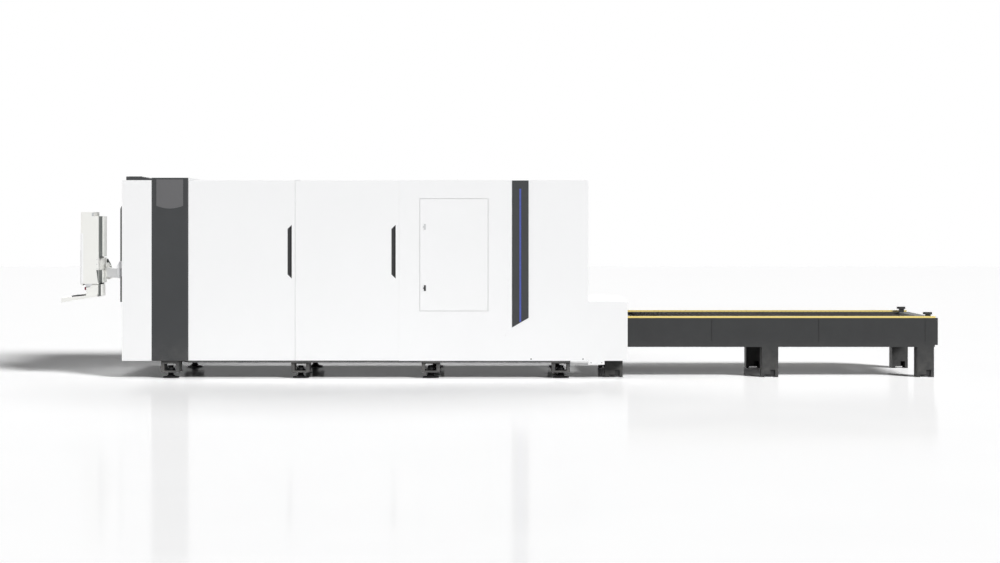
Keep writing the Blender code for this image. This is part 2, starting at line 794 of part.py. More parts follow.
def make_front_section():
    """The white front with its sides and top, open at the back and below."""
    x = front_face()
    body = block("front_section", (x, start(FRONT_LENGTH) - GAP), (-SKIN_Y, SKIN_Y), (SKIN_BOTTOM, SKIN_TOP))
    hollow = block("hollow", (x + PANEL_DEPTH, start(FRONT_LENGTH) + OVERRUN), (-INNER_Y, INNER_Y),
                   (SKIN_BOTTOM - OVERRUN, SKIN_TOP - PANEL_DEPTH))
    ys, zs = doorway()
    opening = block("doorway", (x - OVERRUN, x + PANEL_DEPTH + OVERRUN), ys, zs)
    return white(joined("front_section", [cut(body, [hollow, opening])] + door_rails()))


def door_rails():
    """Ledges above and below the sliding door, from its rest place to the far wall."""
    _, ys, zs = leaf_spans()
    x = front_face() + PANEL_DEPTH
    xs = (x - JOIN_DEPTH, x + DOOR_RAIL_DEPTH)
    long_ys = (ys[0] - DOOR_RAIL_MARGIN, INNER_Y - DOOR_RAIL_END_GAP)
    low = zs[0] - GAP
    high = zs[1] + GAP
    return [
        block("lower guide", xs, long_ys, (low - DOOR_RAIL_HEIGHT, low)),
        block("upper guide", xs, long_ys, (high, high + DOOR_RAIL_HEIGHT)),
    ]


def make_front_bezel():
    """The dark frame that stands proud round the doorway and carries the arm's bracket."""
    x = front_face()
    outline = [
        (x - GAP, 0), (x - BEZEL_PROUD + BEZEL_CHAMFER, 0), (x - BEZEL_PROUD, BEZEL_CHAMFER),
        (x - BEZEL_PROUD, BEZEL_HALF_WIDTH), (x - GAP, BEZEL_HALF_WIDTH),
    ]
    halves = []
    for side in SIDES:
        plan = [(across, side * (BEZEL_HALF_WIDTH - inwards)) for across, inwards in outline[:-2]]
        plan += [(x - BEZEL_PROUD, -side * OVERRUN), (x - GAP, -side * OVERRUN)]
        halves.append(prism("half", plan, "Z", BEZEL_BOTTOM, BEZEL_TOP))
    body = joined("front_bezel", halves)
    ys, zs = doorway()
    opening = block("doorway", (x - BEZEL_PROUD - OVERRUN, x + OVERRUN), ys, zs)
    return dark(cut(body, [opening]))


def leaf_spans():
    ys, zs = doorway()
    x = front_face() + PANEL_DEPTH + GAP
    return (x, x + DOOR_LEAF), (ys[0] - DOOR_LAP, ys[1] + DOOR_LAP), (zs[0] - DOOR_LAP, zs[1] + DOOR_LAP)


def window_spans():
    xs, ys, zs = leaf_spans()
    centre = (xs[0] + xs[1]) / 2
    return ((centre - WINDOW_GLASS / 2, centre + WINDOW_GLASS / 2),
            (ys[0] + WINDOW_MARGIN, ys[1] - WINDOW_MARGIN), (zs[0] + WINDOW_MARGIN, zs[1] - WINDOW_MARGIN))


def make_front_door():
    """The sliding leaf with its window opening and an upright pull."""
    xs, ys, zs = leaf_spans()
    leaf = block("front_door", xs, ys, zs)
    _, window_ys, window_zs = window_spans()
    opening = block("window", (xs[0] - OVERRUN, xs[1] + OVERRUN), window_ys, window_zs)
    leaf = cut(leaf, [opening])
    near = doorway()[0][0] + DOOR_HANDLE_INSET
    middle_z = (zs[0] + zs[1]) / 2
    half = DOOR_HANDLE_LENGTH / 2
    front = xs[0] - DOOR_HANDLE_REACH
    pull = block("pull", (front, xs[0] + JOIN_DEPTH), (near, near + DOOR_HANDLE_WIDTH),
                 (middle_z - half, middle_z + half))
    hand = block("hand gap", (front + DOOR_HANDLE_REACH / 2, xs[0]),
                 (near - OVERRUN, near + DOOR_HANDLE_WIDTH + OVERRUN),
                 (middle_z - half + DOOR_HANDLE_WIDTH, middle_z + half - DOOR_HANDLE_WIDTH))
    return mid_grey(joined("front_door", [leaf, cut(pull, [hand])]))


def make_front_window():
    xs, ys, zs = window_spans()
    return glass(block("front_window", xs, (ys[0] + GAP, ys[1] - GAP), (zs[0] + GAP, zs[1] - GAP)))


def band_span():
    return start(FRONT_LENGTH), start(FRONT_LENGTH + BAND_LENGTH)


def inset_outline(margin):
    """The inset's side outline, with a curved lower edge."""
    first = start(FRONT_LENGTH + INSET_START)
    last = first + INSET_LENGTH
    top = SKIN_TOP + BAND_RISE - INSET_TOP_MARGIN
    steps = 2 * CORNER_STEPS
    outline = [(first + margin, top - margin), (last - margin, top - margin)]
    for index in range(steps + 1):
        share = 1 - 2 * index / steps
        x = (first + last) / 2 + share * (INSET_LENGTH / 2 - margin)
        outline.append((x, INSET_BOTTOM_CORNER - INSET_CURVE * (1 - share * share) + margin))
    return outline


def make_front_band():
    """The dark portal over both sides and the roof, with chamfered edges and two insets."""
    first, last = band_span()
    top = SKIN_TOP + BAND_RISE
    chamfer = BAND_CHAMFER
    sides = []
    for side in SIDES:
        outer = side * HALF_WIDTH
        inner = side * INNER_Y
        plan = [(first, inner), (first, outer - side * chamfer / 2), (first + chamfer, outer),
                (last - chamfer, outer), (last, outer - side * chamfer / 2), (last, inner)]
        sides.append(prism("side", plan, "Z", SKIN_BOTTOM, top))
    roof = block("roof", (first, last), (-INNER_Y - OVERRUN, INNER_Y + OVERRUN),
                 (SKIN_TOP - PANEL_DEPTH, top))
    body = joined("front_band", sides + [roof])
    pockets = [
        prism("pocket", inset_outline(0), "Y", side * (HALF_WIDTH - INSET_DEPTH),
              side * (HALF_WIDTH + OVERRUN))
        for side in SIDES
    ]
    return dark(cut(body, pockets))


def make_band_insets():
    for side in SIDES:
        inset = prism("band_inset_" + SIDE_NAMES[side], inset_outline(GAP), "Y",
                      side * (HALF_WIDTH - INSET_DEPTH + GAP), side * (HALF_WIDTH - GAP))
        mid_grey(inset)


def make_roof_visor():
    """The low dark cowl on the roof ahead of the band."""
    first = start(VISOR_START)
    last = start(FRONT_LENGTH) - GAP
    low = SKIN_TOP + GAP
    high = SKIN_TOP + VISOR_RISE
    outline = [
        (first, low), (last, low), (last, SKIN_TOP + VISOR_TAIL_RISE),
        (first + VISOR_CREST_LENGTH + VISOR_NOSE, high - VISOR_NOSE / 2), (first + VISOR_CREST_LENGTH, high),
        (first + VISOR_NOSE, high), (first, high - VISOR_NOSE),
    ]
    return dark(prism("roof_visor", outline, "Y", -VISOR_HALF_WIDTH, VISOR_HALF_WIDTH))


def upper_pivots():
    """Plates on the roof's edge with the pins that the side doors turn on."""
    pieces = []
    y = -SKIN_Y + HINGE_INSET
    low = SKIN_TOP - LEAF_LIFT / 2
    high = SKIN_TOP + HINGE_PLATE_THICKNESS
    for first, last in (front_leaf_span(), rear_leaf_span()):
        pieces.append(block("plate", (first, first + HINGE_PLATE_LENGTH),
                            (y - HINGE_PIN_RADIUS, y + HINGE_PLATE_WIDTH), (low, high)))
        leaf_top = side_leaf_spans(first, last)[1][1]
        pieces.append(hinge_pin(first + HINGE_INSET, y, leaf_top - HINGE_PIN_DEPTH, (low + high) / 2))
    return pieces


def make_roof_panel():
    """The roof behind the band, a pan with ribs between its bays."""
    first = band_span()[1] + GAP
    last = start(HIGH_LENGTH) - GAP
    half = INNER_Y - GAP
    roof = block("roof_panel", (first, last), (-half, half), (SKIN_TOP - PANEL_DEPTH, SKIN_TOP))
    bay = (last - first - ROOF_RIB) / ROOF_BAY_COUNT
    pockets = []
    for index in range(ROOF_BAY_COUNT):
        low = first + ROOF_RIB + bay * index
        pockets.append(block("bay", (low, low + bay - ROOF_RIB), (-half + ROOF_RIB, half - ROOF_RIB),
                             (SKIN_TOP - PANEL_DEPTH - OVERRUN, SKIN_TOP - PANEL_SHEET)))
    return white(joined("roof_panel", [cut(roof, pockets)] + upper_pivots()))


def pocket(name, xs, zs, side):
    """A cutter that leaves a folded sheet: it hollows a side panel from inside."""
    ys = (side * (INNER_Y - OVERRUN), side * (SKIN_Y - PANEL_SHEET))
    return block(name, (xs[0] + PANEL_RIM, xs[1] - PANEL_RIM), ys, (zs[0] + PANEL_RIM, zs[1] - PANEL_RIM))


def cabinet_door_spans():
    xs = (start(CABINET_DOOR_START), start(CABINET_DOOR_END))
    return xs, (CABINET_DOOR_BOTTOM, CABINET_DOOR_TOP)


def hinge_bore(x, y, z, up):
    """A cutter for a pin's bore that opens at z and runs up or down into a leaf."""
    low = z - OVERRUN if up > 0 else z - HINGE_PIN_DEPTH - GAP
    return rod("bore", HINGE_PIN_RADIUS + HINGE_CLEARANCE, (x, y, low), "Z", HINGE_PIN_DEPTH + GAP + OVERRUN)


def cabinet_hinge():
    """X and Y of the cabinet door's hinge axis."""
    return start(CABINET_DOOR_END) - HINGE_INSET, -SKIN_Y + HINGE_INSET


def make_side_panel_near():
    """The fixed near panel with the cabinet doorway and the lower hatch seam."""
    xs = (start(REAR_LEAF_END) + SEAM / 2, start(HIGH_LENGTH))
    panel = block("side_panel_near", xs, (-SKIN_Y, -INNER_Y), (SKIN_BOTTOM, SKIN_TOP))
    door_xs, door_zs = cabinet_door_spans()
    seam = CABINET_DOOR_SEAM
    long_ys = (-SKIN_Y - OVERRUN, -INNER_Y + OVERRUN)
    doorway_cut = block("doorway", (door_xs[0] - seam, door_xs[1] + seam), long_ys,
                        (door_zs[0] - seam, door_zs[1] + seam))
    rear = pocket("rear", (door_xs[1] + CABINET_MARGIN, xs[1]), (SKIN_BOTTOM, SKIN_TOP), NEAR)
    below = pocket("below", (xs[0], door_xs[1]), (SKIN_BOTTOM, door_zs[0] - CABINET_MARGIN), NEAR)
    groove_ys = (-SKIN_Y - OVERRUN, -SKIN_Y + GROOVE / 2)
    hatch_x = start(HATCH_START)
    hatch = block("hatch", (hatch_x, hatch_x + GROOVE), groove_ys, (SKIN_BOTTOM - OVERRUN, HATCH_TOP))
    x, y = cabinet_hinge()
    reach = HINGE_PIN_DEPTH / 2
    pins = [
        hinge_pin(x, y, door_zs[0] - reach, door_zs[0] + reach),
        hinge_pin(x, y, door_zs[1] - reach, door_zs[1] + reach),
    ]
    return white(joined("side_panel_near", [cut(panel, [doorway_cut, rear, below, hatch])] + pins))


def make_side_panel_far():
    """The far side: one row of folded panels with shallow seams between them."""
    first = band_span()[1] + GAP
    last = start(HIGH_LENGTH)
    panel = block("side_panel_far", (first, last), (INNER_Y, SKIN_Y), (SKIN_BOTTOM, SKIN_TOP))
    bay = (last - first) / FAR_BAY_COUNT
    cutters = []
    for index in range(FAR_BAY_COUNT):
        low = first + bay * index
        cutters.append(pocket("bay", (low, low + bay), (SKIN_BOTTOM, SKIN_TOP), FAR))
        if index:
            cutters.append(block("seam", (low - SEAM, low + SEAM), (SKIN_Y - GROOVE / 2, SKIN_Y + OVERRUN),
                                 (SKIN_BOTTOM - OVERRUN, SKIN_TOP + OVERRUN)))
    return white(cut(panel, cutters))


def make_rear_wall():
    """The wall above the hood."""
    half = INNER_Y - GAP
    xs = (start(HIGH_LENGTH) - PANEL_DEPTH, start(HIGH_LENGTH))
    wall = block("rear_wall", xs, (-half, half), (HOOD_TOP + GAP, SKIN_TOP - PANEL_DEPTH - GAP))
    bay = block("bay", (xs[0] - OVERRUN, xs[1] - PANEL_SHEET), (-half + ROOF_RIB, half - ROOF_RIB),
                (HOOD_TOP + ROOF_RIB, SKIN_TOP - PANEL_DEPTH - ROOF_RIB))
    return white(cut(wall, [bay]))


def make_entry_hood():
    """The low hood that the pallets pass through, open at both ends and below."""
    first = start(HIGH_LENGTH) + GAP
    last = start(HIGH_LENGTH + HOOD_LENGTH)
    body = block("entry_hood", (first, last), (-SKIN_Y, SKIN_Y), (SKIN_BOTTOM, HOOD_TOP))
    lips = [
        block("lip", (first, first + HOOD_LIP_LENGTH), (side * INNER_Y, side * SKIN_Y),
              (SKIN_BOTTOM - HOOD_LIP_DROP, SKIN_BOTTOM + OVERRUN))
        for side in SIDES
    ]
    body = joined("entry_hood", [body] + lips)
    hollow = block("hollow", (first - OVERRUN, last - PANEL_DEPTH), (-INNER_Y, INNER_Y),
                   (SKIN_BOTTOM - OVERRUN, HOOD_TOP - PANEL_DEPTH))
    half = TABLE_HALF_WIDTH + ENTRY_MARGIN
    opening = block("entry", (last - PANEL_DEPTH - OVERRUN, last + OVERRUN), (-half, half),
                    (SKIN_BOTTOM - OVERRUN, ENTRY_TOP))
    return white(cut(body, [hollow, opening]))


def accent_outline():
    first = start(ACCENT_START)
    last = first + ACCENT_WIDTH
    top = SKIN_TOP - ACCENT_TOP_MARGIN
    return [(first, ACCENT_BOTTOM_FRONT), (last, ACCENT_BOTTOM_REAR), (last, top), (first, top)]


def light_spans():
    first = start(ACCENT_START + LIGHT_START)
    return (first, first + LIGHT_WIDTH), (LIGHT_BOTTOM, LIGHT_TOP)


def make_accent_strips():
    """Dark strips with a slanting foot, grooved for the light line."""
    xs, zs = light_spans()
    for side in SIDES:
        strip = prism("accent_strip_" + SIDE_NAMES[side], accent_outline(), "Y", side * (SKIN_Y + GAP),
                      side * HALF_WIDTH)
        groove = block("groove", xs, (side * (HALF_WIDTH - LIGHT_DEPTH), side * (HALF_WIDTH + OVERRUN)), zs)
        dark(cut(strip, [groove]))


def make_light_lines():
    xs, zs = light_spans()
    for side in SIDES:
        ys = (side * (HALF_WIDTH - LIGHT_DEPTH + GAP), side * (HALF_WIDTH - GAP))
        blue(block("light_line_" + SIDE_NAMES[side], (xs[0] + GAP, xs[1] - GAP), ys,
                   (zs[0] + GAP, zs[1] - GAP)))


# Side doors

def leaf_plan(first, last, hinge_on_last):
    """A leaf's plan, with its outer corner rounded about the hinge axis."""
    outer = -SKIN_Y
    inner = -INNER_Y
    radius = HINGE_INSET
    hinge_x = last if hinge_on_last else first
    free_x = first if hinge_on_last else last
    inwards = -1 if hinge_on_last else 1
    centre = (hinge_x + inwards * radius, outer + radius)
    arc = []
    for step in range(CORNER_STEPS + 1):
        angle = math.pi / 2 * step / CORNER_STEPS
        arc.append((centre[0] - inwards * radius * math.cos(angle), centre[1] - radius * math.sin(angle)))
    relief = [(hinge_x + inwards * radius, inner), (hinge_x, inner - radius)]
    return relief + arc + [(free_x, outer), (free_x, inner)]


def pull_outline(first, margin):
    """A flush pull's outline: upright, with its hinge edge shorter than its free edge."""
    left = start(first) + margin
    right = start(first) + PULL_WIDTH - margin
    return [
        (right, PULL_BOTTOM + margin), (right, PULL_TOP - margin),
        (left, PULL_TOP - PULL_SLOPE - margin), (left, PULL_BOTTOM + PULL_SLOPE + margin),
    ]


def side_leaf_spans(first, last):
    return (first, last), (SKIN_BOTTOM + LEAF_LIFT, SKIN_TOP - LEAF_LIFT)


def make_side_leaf(name, first, last, pull):
    """A folded door leaf with a middle rail, a hole for its pull and a bore at each end."""
    (low_x, high_x), (low_z, high_z) = side_leaf_spans(first, last)
    leaf = prism(name, leaf_plan(low_x, high_x, False), "Z", low_z, high_z)
    rail_half = LEAF_RAIL_HEIGHT / 2
    cutters = [
        pocket("lower", (low_x, high_x), (low_z, LEAF_RAIL_CENTRE - rail_half + PANEL_RIM), NEAR),
        pocket("upper", (low_x, high_x), (LEAF_RAIL_CENTRE + rail_half - PANEL_RIM, high_z), NEAR),
        prism("hole", pull_outline(pull, -GAP), "Y", -SKIN_Y - OVERRUN, -INNER_Y + OVERRUN),
    ]
    x, y = low_x + HINGE_INSET, -SKIN_Y + HINGE_INSET
    cutters += [hinge_bore(x, y, low_z, 1), hinge_bore(x, y, high_z, -1)]
    return white(cut(leaf, cutters))


def make_pull(name, pull):
    """A dark flush cup to pull the door by."""
    cup = prism(name, pull_outline(pull, 0), "Y", -SKIN_Y, -SKIN_Y + PULL_DEPTH)
    hollow = prism("hollow", pull_outline(pull, PULL_WALL), "Y", -SKIN_Y - OVERRUN,
                   -SKIN_Y + PULL_DEPTH - PULL_FLOOR)
    return dark(cut(cup, [hollow]))


def front_leaf_span():
    return band_span()[1] + SEAM, start(FRONT_LEAF_END) - SEAM / 2


def rear_leaf_span():
    return start(FRONT_LEAF_END) + SEAM / 2, start(REAR_LEAF_END) - SEAM / 2


def hinge_pin(x, y, low, high):
    return rod("pin", HINGE_PIN_RADIUS, (x, y, low), "Z", high - low)


# Control cabinet

def latch_x():
    return start(CABINET_DOOR_START + LATCH_CENTRE)


def make_cabinet_door():
    (low_x, high_x), (low_z, high_z) = cabinet_door_spans()
    door = prism("cabinet_door", leaf_plan(low_x, high_x, True), "Z", low_z, high_z)
    wide_rim = 2 * LATCH_CENTRE - PANEL_RIM
    cutters = [pocket("hollow", (low_x + wide_rim, high_x), (low_z, high_z), NEAR)]
    for z in (LATCH_UPPER, LATCH_LOWER):
        cutters.append(rod("bore", LATCH_SHAFT + HINGE_CLEARANCE, (latch_x(), -SKIN_Y - OVERRUN, z), "Y",
                           PANEL_DEPTH + 2 * OVERRUN))
    x, y = cabinet_hinge()
    cutters += [hinge_bore(x, y, low_z, 1), hinge_bore(x, y, high_z, -1)]
    return white(cut(door, cutters))


def make_latch(name, z, finish):
    """A quarter-turn latch: plate outside, shaft through the door and a short nose inside."""
    x = latch_x()
    plate = block(name, (x - LATCH_WIDTH / 2, x + LATCH_WIDTH / 2), (-SKIN_Y - LATCH_PROUD, -SKIN_Y - GAP),
                  (z - LATCH_HEIGHT / 2, z + LATCH_HEIGHT / 2))
    shaft = rod("shaft", LATCH_SHAFT, (x, -SKIN_Y - LATCH_PROUD / 2, z), "Y",
                PANEL_DEPTH + LATCH_PROUD / 2 + LATCH_NOSE_THICKNESS)
    nose = block("nose", (x - LATCH_NOSE, x + LATCH_WIDTH / 2),
                 (-INNER_Y + GAP, -INNER_Y + LATCH_NOSE_THICKNESS),
                 (z - LATCH_WIDTH / 2, z + LATCH_WIDTH / 2))
    return finish(joined(name, [plate, shaft, nose]))


def cabinet_spans():
    """Outer spans of the cabinet behind the panel."""
    (low_x, high_x), (low_z, high_z) = cabinet_door_spans()
    margin = CABINET_MARGIN
    return ((low_x - margin, high_x + margin), (-INNER_Y + GAP, -INNER_Y + CABINET_DEPTH),
            (low_z - margin, high_z + margin))


def make_control_cabinet():
    """The cabinet's box, open towards its door."""
    xs, ys, zs = cabinet_spans()
    wall = CABINET_WALL
    box = block("control_cabinet", xs, ys, zs)
    hollow = block("hollow", (xs[0] + wall, xs[1] - wall), (ys[0] - OVERRUN, ys[1] - wall),
                   (zs[0] + wall, zs[1] - wall))
    return light_grey(cut(box, [hollow]))


def make_control_gear():
    """The mounting plate with rows of modules on it."""
    xs, ys, zs = cabinet_spans()
    back = ys[1] - CABINET_WALL - GAP
    margin = CABINET_WALL + GEAR_PLATE_MARGIN
    plate_xs = (xs[0] + margin, xs[1] - margin)
    pieces = [block("plate", plate_xs, (back - GEAR_PLATE, back), (zs[0] + margin, zs[1] - margin))]
    pitch = (plate_xs[1] - plate_xs[0]) / GEAR_COLUMNS
    for row in range(GEAR_ROWS):
        low = zs[0] + 2 * margin + GEAR_ROW_PITCH * row
        for column in range(GEAR_COLUMNS):
            left = plate_xs[0] + pitch * column + GEAR_SPACING / 2
            depth = GEAR_DEPTH * (1 - (row + column) % GEAR_STEPS / GEAR_COLUMNS)
            pieces.append(block("module", (left, left + pitch - GEAR_SPACING),
                                (back - GEAR_PLATE / 2 - depth, back - GEAR_PLATE / 2),
                                (low, low + GEAR_HEIGHT)))
    return black(joined("control_gear", pieces))


# Gantry

def gantry_x():
    return start(GANTRY_HOME)


def make_gantry_beam():
    """The beam across the bed with a foot and a neck at each end."""
    x = gantry_x()
    front = x + BEAM_DEPTH / 2
    back = x - BEAM_DEPTH / 2
    section = [
        (back, BEAM_BOTTOM + BEAM_SLOPE), (back + BEAM_SLOPE, BEAM_BOTTOM), (front, BEAM_BOTTOM),
        (front, BEAM_TOP), (back + BEAM_SLOPE, BEAM_TOP), (back, BEAM_TOP - BEAM_SLOPE),
    ]
    pieces = [prism("beam", section, "Y", -TRUCK_OUTER, TRUCK_OUTER)]
    low = BED_TOP + RAIL_HEIGHT + GAP
    foot_top = low + TRUCK_FOOT_HEIGHT
    half = TRUCK_LENGTH / 2
    neck = TRUCK_NECK_LENGTH / 2
    outline = [
        (x - half, low), (x + half, low), (x + half, foot_top), (x + neck, foot_top + TRUCK_FOOT_HEIGHT),
        (x + neck - BEAM_SLOPE / 2, BEAM_BOTTOM + OVERRUN),
        (x - neck + BEAM_SLOPE / 2, BEAM_BOTTOM + OVERRUN),
        (x - neck, foot_top + TRUCK_FOOT_HEIGHT), (x - half, foot_top),
    ]
    for side in SIDES:
        pieces.append(prism("truck", outline, "Y", side * TRUCK_INNER, side * TRUCK_OUTER))
        pieces += drive_motor(side)
    guide_half = TRUCK_OUTER - RAIL_END_MARGIN
    for z in (GUIDE_LOW, GUIDE_HIGH):
        pieces.append(block("guide", (front - GUIDE_DEPTH / 2, guide_front()), (-guide_half, guide_half),
                            (z, z + GUIDE_WIDTH)))
    return light_grey(joined("gantry_beam", pieces))


def drive_motor(side):
    """A drive motor with its gearbox on the outside of a truck."""
    x = gantry_x()
    gearbox = block("gearbox", (x - GEARBOX_HALF, x + GEARBOX_HALF),
                    (side * (TRUCK_OUTER - GEARBOX_LENGTH), side * (TRUCK_OUTER + GEARBOX_LENGTH)),
                    (MOTOR_HEIGHT - GEARBOX_HALF, MOTOR_HEIGHT + GEARBOX_HALF))
    first = TRUCK_OUTER if side == FAR else -TRUCK_OUTER - GEARBOX_LENGTH - MOTOR_LENGTH
    motor = rod("motor", MOTOR_RADIUS, (x, first, MOTOR_HEIGHT), "Y", GEARBOX_LENGTH + MOTOR_LENGTH,
                ROUND_SIDES)
    return [gearbox, motor]


def guide_front():
    return gantry_x() + BEAM_DEPTH / 2 + GUIDE_DEPTH


def make_y_carriage():
    """The carriage plate, with the screw housing that carries the slide on top."""
    first = guide_front() + GAP
    half = CARRIAGE_WIDTH / 2
    plate = block("plate", (first, first + CARRIAGE_PLATE), (CARRIAGE_HOME - half, CARRIAGE_HOME + half),
                  (CARRIAGE_BOTTOM, CARRIAGE_TOP))
    cheeks = []
    for side in SIDES:
        inner = CARRIAGE_HOME + side * (SLIDE_WIDTH / 2 + HINGE_CLEARANCE)
        outer = CARRIAGE_HOME + side * half
        cheeks.append(block("cheek", (first + CARRIAGE_PLATE / 2, first + CARRIAGE_PLATE + SLIDE_DEPTH / 2),
                            (inner, outer), (CARRIAGE_BOTTOM, CARRIAGE_TOP)))
    return mid_grey(joined("y_carriage", [plate] + cheeks))


def make_z_slide():
    first = guide_front() + GAP + CARRIAGE_PLATE + GAP
    half = SLIDE_WIDTH / 2
    slide = block("z_slide", (first, first + SLIDE_DEPTH), (CARRIAGE_HOME - half, CARRIAGE_HOME + half),
                  (SLIDE_BOTTOM, SLIDE_TOP))
    return light_grey(slide)


def head_x():
    return guide_front() + CARRIAGE_PLATE + 2 * GAP + SLIDE_DEPTH + HEAD_STANDOFF


def make_cutting_head():
    """The barrel with its collimator top, cone and nozzle, on a bracket."""
    top = SLIDE_TOP - HEAD_SHOULDER
    low = NOZZLE_TIP
    barrel = low + (top - low) * HEAD_BARREL_BOTTOM_SHARE
    profile = [
        (0, low), (NOZZLE_MOUTH, low), (NOZZLE_RADIUS, low + NOZZLE_HEIGHT / 2),
        (NOZZLE_RADIUS, low + NOZZLE_HEIGHT),
        (HEAD_NECK_RADIUS, low + NOZZLE_HEIGHT), (HEAD_NECK_RADIUS, low + 2 * NOZZLE_HEIGHT),
        (HEAD_RADIUS, barrel), (HEAD_RADIUS, top - HEAD_SHOULDER), (HEAD_NECK_RADIUS, top), (0, top),
    ]
    place = (head_x(), CARRIAGE_HOME, 0)
    barrel_body = turned("cutting_head", profile, place)
    back = guide_front() + CARRIAGE_PLATE + 2 * GAP + SLIDE_DEPTH + GAP
    half = HEAD_NECK_RADIUS
    mount = block("mount", (back, head_x()), (CARRIAGE_HOME - half, CARRIAGE_HOME + half),
                  (barrel + HEAD_SHOULDER, top - 2 * HEAD_SHOULDER))
    return black(joined("cutting_head", [barrel_body, mount]))


# Shuttle pallets

def pallet_place(inner):
    """The first X and the drop of a pallet: the outer one is raised, the inner one is in the machine."""
    shift = PALLET_TRAVEL if inner else 0
    drop = LIFT_DROP if inner else 0
    return start(PALLET_START - shift), drop


def pallet_rails(first, drop):
    """Side rails, end bars and the lower cross bars that the slats stand on."""
    low = PALLET_RAIL_BOTTOM - drop
    high = PALLET_RAIL_TOP - drop
    rail_inner = PALLET_RAIL_OUTER - PALLET_RAIL_WIDTH
    pieces = [
        block("rail", (first, first + PALLET_LENGTH), (side * rail_inner, side * PALLET_RAIL_OUTER),
              (low, high))
        for side in SIDES
    ]
    seat = PALLET_TOP - SLAT_HEIGHT - drop + SLAT_SEAT
    reach = PALLET_RAIL_OUTER - PALLET_RAIL_WIDTH / 2
    step = (PALLET_LENGTH - PALLET_BAR_WIDTH) / (PALLET_BAR_COUNT + 1)
    for index in range(PALLET_BAR_COUNT + 2):
        x = first + step * index
        top = high if index in (0, PALLET_BAR_COUNT + 1) else seat
        pieces.append(block("bar", (x, x + PALLET_BAR_WIDTH), (-reach, reach), (low, top)))
    return pieces


def slat_outline(drop):
    """One slat with saw teeth along its top edge, as (y, z) points."""
    half = PALLET_RAIL_OUTER - PALLET_RAIL_WIDTH + SLAT_SEAT
    low = PALLET_TOP - SLAT_HEIGHT - drop
    high = PALLET_TOP - drop
    outline = [(-half, low), (half, low)]
    pitch = 2 * half / SLAT_TEETH
    for tooth in range(SLAT_TEETH):
        y = half - pitch * tooth
        outline.append((y, high - TOOTH_HEIGHT))
        outline.append((y - pitch / 2, high))
    outline.append((-half, high - TOOTH_HEIGHT))
    return outline


def pallet_slats(first, drop):
    outline = slat_outline(drop)
    usable = PALLET_LENGTH - 2 * PALLET_BAR_WIDTH
    count = int(usable / SLAT_PITCH)
    margin = (usable - SLAT_PITCH * (count - 1)) / 2 + PALLET_BAR_WIDTH
    centres = [first + margin + SLAT_PITCH * index for index in range(count)]
    return [prism("slat", outline, "X", x - SLAT_THICKNESS / 2, x + SLAT_THICKNESS / 2) for x in centres]


def pallet_wheels(first, drop):
    """Track wheels on the outside of the pallet's rails."""
    z = (PALLET_RAIL_BOTTOM + PALLET_RAIL_TOP) / 2 - drop
    step = (PALLET_LENGTH - 2 * WHEEL_MARGIN) / (WHEEL_COUNT - 1)
    outer = PALLET_RAIL_OUTER + WHEEL_WIDTH
    inner = PALLET_RAIL_OUTER - SLAT_SEAT
    pieces = []
    for index in range(WHEEL_COUNT):
        x = first + WHEEL_MARGIN + step * index
        for y in (-outer, inner):
            pieces.append(rod("wheel", WHEEL_RADIUS, (x, y, z), "Y", outer - inner, FOOT_SIDES))
    return pieces


def make_pallet(name, inner):
    """A shuttle pallet: welded rails and bars, a bed of serrated slats and the track wheels."""
    first, drop = pallet_place(inner)
    pieces = pallet_rails(first, drop) + pallet_slats(first, drop) + pallet_wheels(first, drop)
    return raw_steel(joined(name, pieces))


def track_section(side, drop):
    """An angle track: the wheels roll on its flat leg."""
    top = (PALLET_RAIL_BOTTOM + PALLET_RAIL_TOP) / 2 - WHEEL_RADIUS - GAP - drop
    low = top - TRACK_PLATE
    return [
        (side * TRACK_INNER, low), (side * TRACK_OUTER, low), (side * TRACK_OUTER, top + TRACK_RISE),
        (side * (TRACK_OUTER - TRACK_PLATE), top + TRACK_RISE), (side * (TRACK_OUTER - TRACK_PLATE), top),
        (side * TRACK_INNER, top),
    ]


def pallet_track(side):
    """A fixed track inside the machine, held to its girder by brackets."""
    section = track_section(side, LIFT_DROP)
    low = section[0][1]
    high = section[2][1]
    pieces = [prism("track", section, "X", start(TRACK_START), start(TRACK_END))]
    for index in range(1, FOOT_COUNT):
        x = max(foot_x(index) - TRACK_BRACKET_LENGTH, start(TRACK_START))
        ys = (side * (TRACK_OUTER - TRACK_PLATE / 2), side * (BED_INNER + TRACK_PLATE))
        pieces.append(block("bracket", (x, x + TRACK_BRACKET_LENGTH), ys,
                            (low + TRACK_PLATE, high - TRACK_PLATE)))
    return pieces


# Exchange table

def table_beam(side):
    """A folded side beam: a web, two inward flanges and a proud lower rail with panel seams."""
    outer = TABLE_HALF_WIDTH
    web = outer - TABLE_RAIL_PROUD
    inner = web - TABLE_WEB
    lip = outer - TABLE_FLANGE
    section = [
        (lip, TABLE_BOTTOM), (outer, TABLE_BOTTOM), (outer, TABLE_RAIL_TOP), (web, TABLE_RAIL_TOP),
        (web, TABLE_TOP), (lip, TABLE_TOP), (lip, TABLE_TOP - TABLE_WEB), (inner, TABLE_TOP - TABLE_WEB),
        (inner, TABLE_BOTTOM + TABLE_WEB), (lip, TABLE_BOTTOM + TABLE_WEB),
    ]
    outline = [(side * y, z) for y, z in section]
    beam = prism("beam", outline, "X", start(TABLE_START), start(TABLE_BEAM_END) + END_WALL / 2)
    seams = [
        block("seam", (start(place), start(place) + GROOVE),
              (side * (web - GROOVE), side * (outer + OVERRUN)),
              (TABLE_RAIL_TOP - OVERRUN, TABLE_TOP + OVERRUN))
        for place in (TABLE_SEAM_FRONT, TABLE_SEAM_REAR)
    ]
    return cut(beam, seams)


